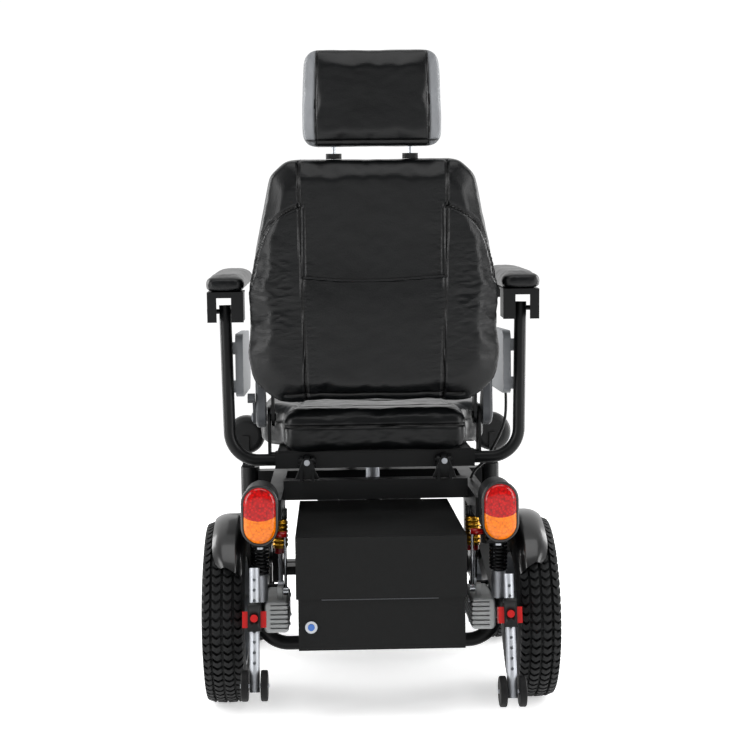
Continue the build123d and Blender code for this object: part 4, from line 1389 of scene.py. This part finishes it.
class WHEELCHAIR_OT_headlights(bpy.types.Operator):
    """Fits a fluted glass and a bright rim to the front of each headlight"""
    bl_idname = "wheelchair.headlights"
    bl_label = "Headlights"

    def execute(self, context):
        _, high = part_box("headlights")
        radius = 45 * MM  # of the lamp's shell
        turn = np.linspace(0, 2 * math.pi, 48, endpoint=False)
        for side, sign in SIDES.items():
            x, z = sign * (high.x - radius), high.z - radius

            def circle(r):
                """Outline of a circle about the lamp's middle."""
                return [(x + r * math.cos(a), z + r * math.sin(a)) for a in turn]
            glass = prism_y(f"headlight_glass_{side}", circle(radius - 6 * MM), high.y - 2 * MM,
                            high.y + 4 * MM, finish("lamp_glass"), 3 * MM, 4)
            rim_path = [(px, high.y, pz) for px, pz in circle(radius - 4 * MM)]
            rim = tube("headlight_rim", rim_path + rim_path[:1], 2.4 * MM, finish("chrome"),
                       smooth_path=False, sides=3)
            lamp = joined(f"headlight_front_{side}", [glass, rim])
            fitted(lamp, "chassis")
        return {"FINISHED"}


class WHEELCHAIR_OT_springs(bpy.types.Operator):
    """Winds the two rear coil springs"""
    bl_idname = "wheelchair.springs"
    bl_label = "Coil springs"

    def execute(self, context):
        low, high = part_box("shock_springs")
        height = high.z - low.z
        outer = (high.y - low.y) / 2
        wire = 3.1 * MM
        for side, sign in SIDES.items():
            foot = Vector((sign * (high.x - outer), (low.y + high.y) / 2, low.z + wire))
            seed = plain_mesh("spring_seed", [foot])
            coil = grown(f"coil_spring_{side}", grower(coil_tree), seed,
                         {"Turns": 6.5, "Coil radius": outer - wire, "Foot": foot,
                          "Height": height - 2 * wire, "Wire radius": wire,
                          "Finish": finish("spring_coat")})
            fitted(coil, "chassis", ("shock_springs",))
            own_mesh(coil)
        return {"FINISHED"}


class WHEELCHAIR_OT_sockets(bpy.types.Operator):
    """Splits the anti-tip sockets into black blocks and red release tabs"""
    bl_idname = "wheelchair.sockets"
    bl_label = "Anti-tip sockets"

    def execute(self, context):
        leg = middle("antitip_leg_right").x

        def in_block(centre):
            """True for the block round the leg, false for the tabs beside it."""
            return abs(abs(centre.x) - leg) < 8 * MM
        blocks = by_angle(plain_copy("socket_blocks", "antitip_sockets", "black_abs",
                                     keep=in_block), 30)
        tabs = by_angle(plain_copy("release_tabs", "antitip_sockets", "red_abs",
                                   keep=lambda centre: not in_block(centre)), 30)
        fitted(blocks, "rear_axle", ("antitip_sockets",))
        fitted(tabs, "rear_axle", ("antitip_sockets",))
        return {"FINISHED"}


class WHEELCHAIR_OT_levers(bpy.types.Operator):
    """Finishes the brake levers in chrome with red grips, and the dampers in their three colours"""
    bl_idname = "wheelchair.levers"
    bl_label = "Brake levers and dampers"

    def execute(self, context):
        for side in SIDES:
            node = f"brake_lever_{side}"
            _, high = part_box(node)
            lever = by_angle(plain_copy(f"lever_{side}", node, "chrome"), 40)
            dressed(lever, [(lambda c, top=high.z: c.z > top - 12.5 * MM, finish("red_abs"))])
            fitted(lever, f"brake_lever_{side}", (node,))
        low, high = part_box("damper_bodies")
        body = by_angle(plain_copy("damper_set", "damper_bodies", "gold"), 30)
        cap, collar = high.z - 20.5 * MM, low.z + 11.5 * MM
        dressed(body, [(lambda c: c.z > cap, finish("black_abs")),
                       (lambda c: c.z < collar, finish("red_abs"))])
        fitted(body, "chassis", ("damper_bodies",))
        return {"FINISHED"}


# ---- brackets, fastenings and cable ------------------------------------------------------------
class WHEELCHAIR_OT_frame_details(bpy.types.Operator):
    """Adds the tilt brackets, the box lip and the screws that hold the frame together"""
    bl_idname = "wheelchair.frame_details"
    bl_label = "Frame details"

    def execute(self, context):
        tilt = joint_at("seat_tilt")
        gussets = []
        for sign in (-1, 1):
            x = sign * 141 * MM  # middle of the tilt clevis
            corners = [(x - 25 * MM, tilt.z - 34 * MM), (x + 25 * MM, tilt.z - 34 * MM),
                       (x + 7 * MM, tilt.z + 9 * MM), (x - 7 * MM, tilt.z + 9 * MM)]
            outline = rounded_outline(corners, 4 * MM)
            gussets.append(prism_y("gusset", outline, tilt.y - 17 * MM, tilt.y - 13 * MM,
                                   finish("frame_coat"), 0.8 * MM, 2))
            gussets.append(screws("gusset_screw", [(x, tilt.y - 18 * MM, tilt.z)],
                                  4.5 * MM, 4 * MM, (math.pi / 2, 0, 0), finish("zinc")))
        brackets = joined("tilt_brackets", gussets)
        fitted(brackets, "chassis")

        low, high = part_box("battery_tray")
        cover_low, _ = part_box("battery_cover")
        near = (0.72 * low.x, cover_low.y - 0.6 * MM, cover_low.z - 1.6 * MM)
        far = (0.68 * high.x, cover_low.y + 3 * MM, cover_low.z - 0.2 * MM)
        # the lip is real; its dark grey on the black box is a painted highlight along the cover's lower edge
        lip = rounded_block("box_lip_highlight", near, far, finish("grey_abs"), 0.3 * MM, 2)
        fitted(lip, "chassis")

        # bolts are shot in from well outside, along X, at the height of the joint they hold
        clear = 0.45
        for side, sign in SIDES.items():
            # four screws in the inner end of each motor's barrel, shot from between the motors
            spots = [(sign * 0.05, middle("drive_motors").y + dy, 0.177 + dz)
                     for dy in (-40 * MM, 40 * MM) for dz in (-20 * MM, 20 * MM)]
            screwed(f"motor_screws_{side}", "drive_motors", spots, (sign, 0, 0), 3 * MM, 3 * MM,
                    finish("zinc"), "rear_axle")
            for name, node, joint, radius, height, body in (
                    ("pivot", "main_frame", "rear_suspension", 8, 6, "chassis"),
                    ("recline", "recliner_covers", "backrest_recline", 7, 4, "seat"),
                    ("flip", f"armrest_bracket_{side}", f"armrest_{side}_flip", 6, 4,
                     f"armrest_{side}")):
                at = joint_at(joint)
                screwed(f"{name}_bolt_{side}", node, [(sign * clear, at.y, at.z)],
                        (-sign, 0, 0), radius * MM, height * MM, finish("zinc"), body)
        return {"FINISHED"}


class WHEELCHAIR_OT_cable(bpy.types.Operator):
    """Runs the joystick lead from the armrest down to the frame rail"""
    bl_idname = "wheelchair.cable"
    bl_label = "Joystick lead"

    def execute(self, context):
        route = [design(280, 190, 589), design(281, 191, 556), design(276, 188, 524),
                 design(262, 184, 494), design(246, 182, 466), design(230, 188, 441),
                 design(212, 200, 424), design(206, 206, 406.5)]
        lead = tube("joystick_lead", route, 3 * MM, finish("cable_pvc"))
        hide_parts("joystick_cable")
        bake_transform(lead)
        return {"FINISHED"}


# ---- carried-over nodes --------------------------------------------------------------------
class WHEELCHAIR_OT_finish_nodes(bpy.types.Operator):
    """Gives every node that keeps its own mesh the finish of its material slot"""
    bl_idname = "wheelchair.finish_nodes"
    bl_label = "Finish carried-over nodes"

    def execute(self, context):
        for part in frame["record"]["subparts"]:
            piece = NODES[part["node"]]
            made = finish(SLOT_FINISH[part["material_slot"]])
            for holder in piece.material_slots:
                holder.material = made
        return {"FINISHED"}


# ---- stage -----------------------------------------------------------------------------------
CAMERA_PLACE = (-0.0923, -3.0762, 0.830)
CAMERA_TURN = (1.44, 3.40, -0.72)  # towards +X, down, and rolled, in degrees


def camera_axes(yaw, pitch, roll):
    """Camera matrix whose columns are right, up and backwards."""
    yaw, pitch, roll = (math.radians(v) for v in (yaw, pitch, roll))
    ahead = Vector((math.sin(yaw) * math.cos(pitch), math.cos(yaw) * math.cos(pitch),
                    -math.sin(pitch)))
    level = ahead.cross(Vector((0, 0, 1))).normalized()
    over = level.cross(ahead)
    right = level * math.cos(roll) + over * math.sin(roll)
    up = over * math.cos(roll) - level * math.sin(roll)
    return Matrix((right, up, -ahead)).transposed().to_4x4()


def softbox(name, place, target, width, height, power):
    """Rectangular studio lamp that faces a point."""
    lamp = bpy.data.lights.new(name, "AREA")
    lamp.shape = "RECTANGLE"
    lamp.size = width
    lamp.size_y = height
    lamp.energy = power
    holder = linked(name, lamp)
    holder.location = place
    holder.rotation_euler = (Vector(target) - Vector(place)).to_track_quat("-Z", "Y").to_euler()


class WheelchairStage(bpy.types.PropertyGroup):
    lens: bpy.props.FloatProperty(
        name="Lens", description="Focal length of the camera in millimetres, 36 mm wide sensor",
        default=70.08, min=10.0)
    key_power: bpy.props.FloatProperty(
        name="Side light", description="Power of each of the two large side lamps",
        default=40.0, unit="POWER")
    edge_power: bpy.props.FloatProperty(
        name="Edge light", description="Power of each of the two lamps that rim the sides",
        default=48.0, unit="POWER")
    top_power: bpy.props.FloatProperty(
        name="Top light", description="Power of the overhead lamp", default=30.0, unit="POWER")
    white: bpy.props.FloatProperty(
        name="Wall", description="Brightness of the white wall ahead", default=1.05, min=0.0)
    room: bpy.props.FloatProperty(
        name="Room", description="Brightness of the rest of the room", default=0.26, min=0.0)


class WHEELCHAIR_OT_stage(bpy.types.Operator):
    """Adds the floor, the white surround, the soft lamps and the camera"""
    bl_idname = "wheelchair.stage"
    bl_label = "Build the stage"

    def execute(self, context):
        sizes = context.scene.wheelchair_stage
        reach = 9.0  # half the floor's width
        corners = [(-reach, -reach), (reach, -reach), (reach, reach), (-reach, reach)]
        floor = piece_from("floor", [(x, y, 0) for x, y in corners], [(0, 1, 2, 3)],
                           studio_paper(), smooth=False)

        surround = bpy.data.worlds.new("white_surround")
        surround.use_nodes = True
        tree = surround.node_tree
        tree.nodes.clear()
        # white wall ahead (+Y), dimmer room behind, so black surfaces stay black
        way = add(tree, "ShaderNodeTexCoord").outputs["Generated"]
        axes = add(tree, "ShaderNodeSeparateXYZ", {0: way})
        wall = add(tree, "ShaderNodeMapRange", {"Value": axes.outputs[1], "From Min": -0.1,
                                                "From Max": 0.6, "To Min": sizes.room,
                                                "To Max": sizes.white},
                   interpolation_type="SMOOTHSTEP")
        # past the floor's edge and up to the horizon the paper goes on, in the same white
        paper = add(tree, "ShaderNodeMapRange", {"Value": axes.outputs[2], "From Min": 0.0,
                                                 "From Max": 0.08, "To Min": sizes.white,
                                                 "To Max": wall.outputs[0]},
                    interpolation_type="SMOOTHSTEP")
        sky = add(tree, "ShaderNodeBackground", {"Color": colour("#FFFFFF"),
                                                 "Strength": paper.outputs[0]})
        add(tree, "ShaderNodeOutputWorld", {"Surface": sky.outputs[0]})
        context.scene.world = surround

        target = (0, 0, 0.55 * CAD_BOX[1][2])
        for side, sign in SIDES.items():
            softbox(f"side_light_{side}", (sign * 2.3, -1.5, 1.3), target, 1.0, 2.2,
                    sizes.key_power)
            softbox(f"edge_light_{side}", (sign * 2.3, 1.0, 1.2), target, 0.9, 2.4,
                    sizes.edge_power)
        softbox("top_light", (0, -0.9, 3.0), target, 2.6, 1.6, sizes.top_power)

        lens = bpy.data.cameras.new("camera")
        lens.sensor_width = 36.0
        lens.lens = sizes.lens
        lens.clip_end = 60.0
        eye = linked("camera", lens)
        eye.matrix_world = Matrix.Translation(CAMERA_PLACE) @ camera_axes(*CAMERA_TURN)
        context.scene.camera = eye
        context.scene.view_settings.view_transform = "Standard"
        return {"FINISHED"}


# ---- panel and registration --------------------------------------------------------------------
class WHEELCHAIR_PT_looks(bpy.types.Panel):
    bl_idname = "WHEELCHAIR_PT_looks"
    bl_label = "Power wheelchair"
    bl_space_type = "VIEW_3D"
    bl_region_type = "UI"
    bl_category = "Wheelchair"

    def draw(self, context):
        layout = self.layout
        for holder in GROUPS:
            box = layout.box()
            for key in GROUPS[holder].__annotations__:
                box.prop(getattr(context.scene, holder), key)
        for step in STEPS:
            layout.operator(step.bl_idname)


GROUPS = {
    "wheelchair_upholstery": WheelchairUpholstery,
    "wheelchair_tyres": WheelchairTyres,
    "wheelchair_stage": WheelchairStage,
}

STEPS = (
    WHEELCHAIR_OT_finish_nodes,
    WHEELCHAIR_OT_seat_back,
    WHEELCHAIR_OT_headrest,
    WHEELCHAIR_OT_cushion,
    WHEELCHAIR_OT_arm_pads,
    WHEELCHAIR_OT_calf_pads,
    WHEELCHAIR_OT_rear_tyres,
    WHEELCHAIR_OT_caster_tyres,
    WHEELCHAIR_OT_wheel_bolts,
    WHEELCHAIR_OT_fenders,
    WHEELCHAIR_OT_tail_lights,
    WHEELCHAIR_OT_headlights,
    WHEELCHAIR_OT_springs,
    WHEELCHAIR_OT_sockets,
    WHEELCHAIR_OT_levers,
    WHEELCHAIR_OT_frame_details,
    WHEELCHAIR_OT_cable,
    WHEELCHAIR_OT_stage,
)


def register():
    for made in (*GROUPS.values(), *STEPS, WHEELCHAIR_PT_looks):
        bpy.utils.register_class(made)
    for holder, group in GROUPS.items():
        setattr(bpy.types.Scene, holder, bpy.props.PointerProperty(type=group))


def unregister():
    for holder in GROUPS:
        delattr(bpy.types.Scene, holder)
    for made in reversed((*GROUPS.values(), *STEPS, WHEELCHAIR_PT_looks)):
        bpy.utils.unregister_class(made)


def main():
    register()
    for step in STEPS:
        group, action = step.bl_idname.split(".")
        getattr(getattr(bpy.ops, group), action)()


if __name__ == "__main__":
    main()
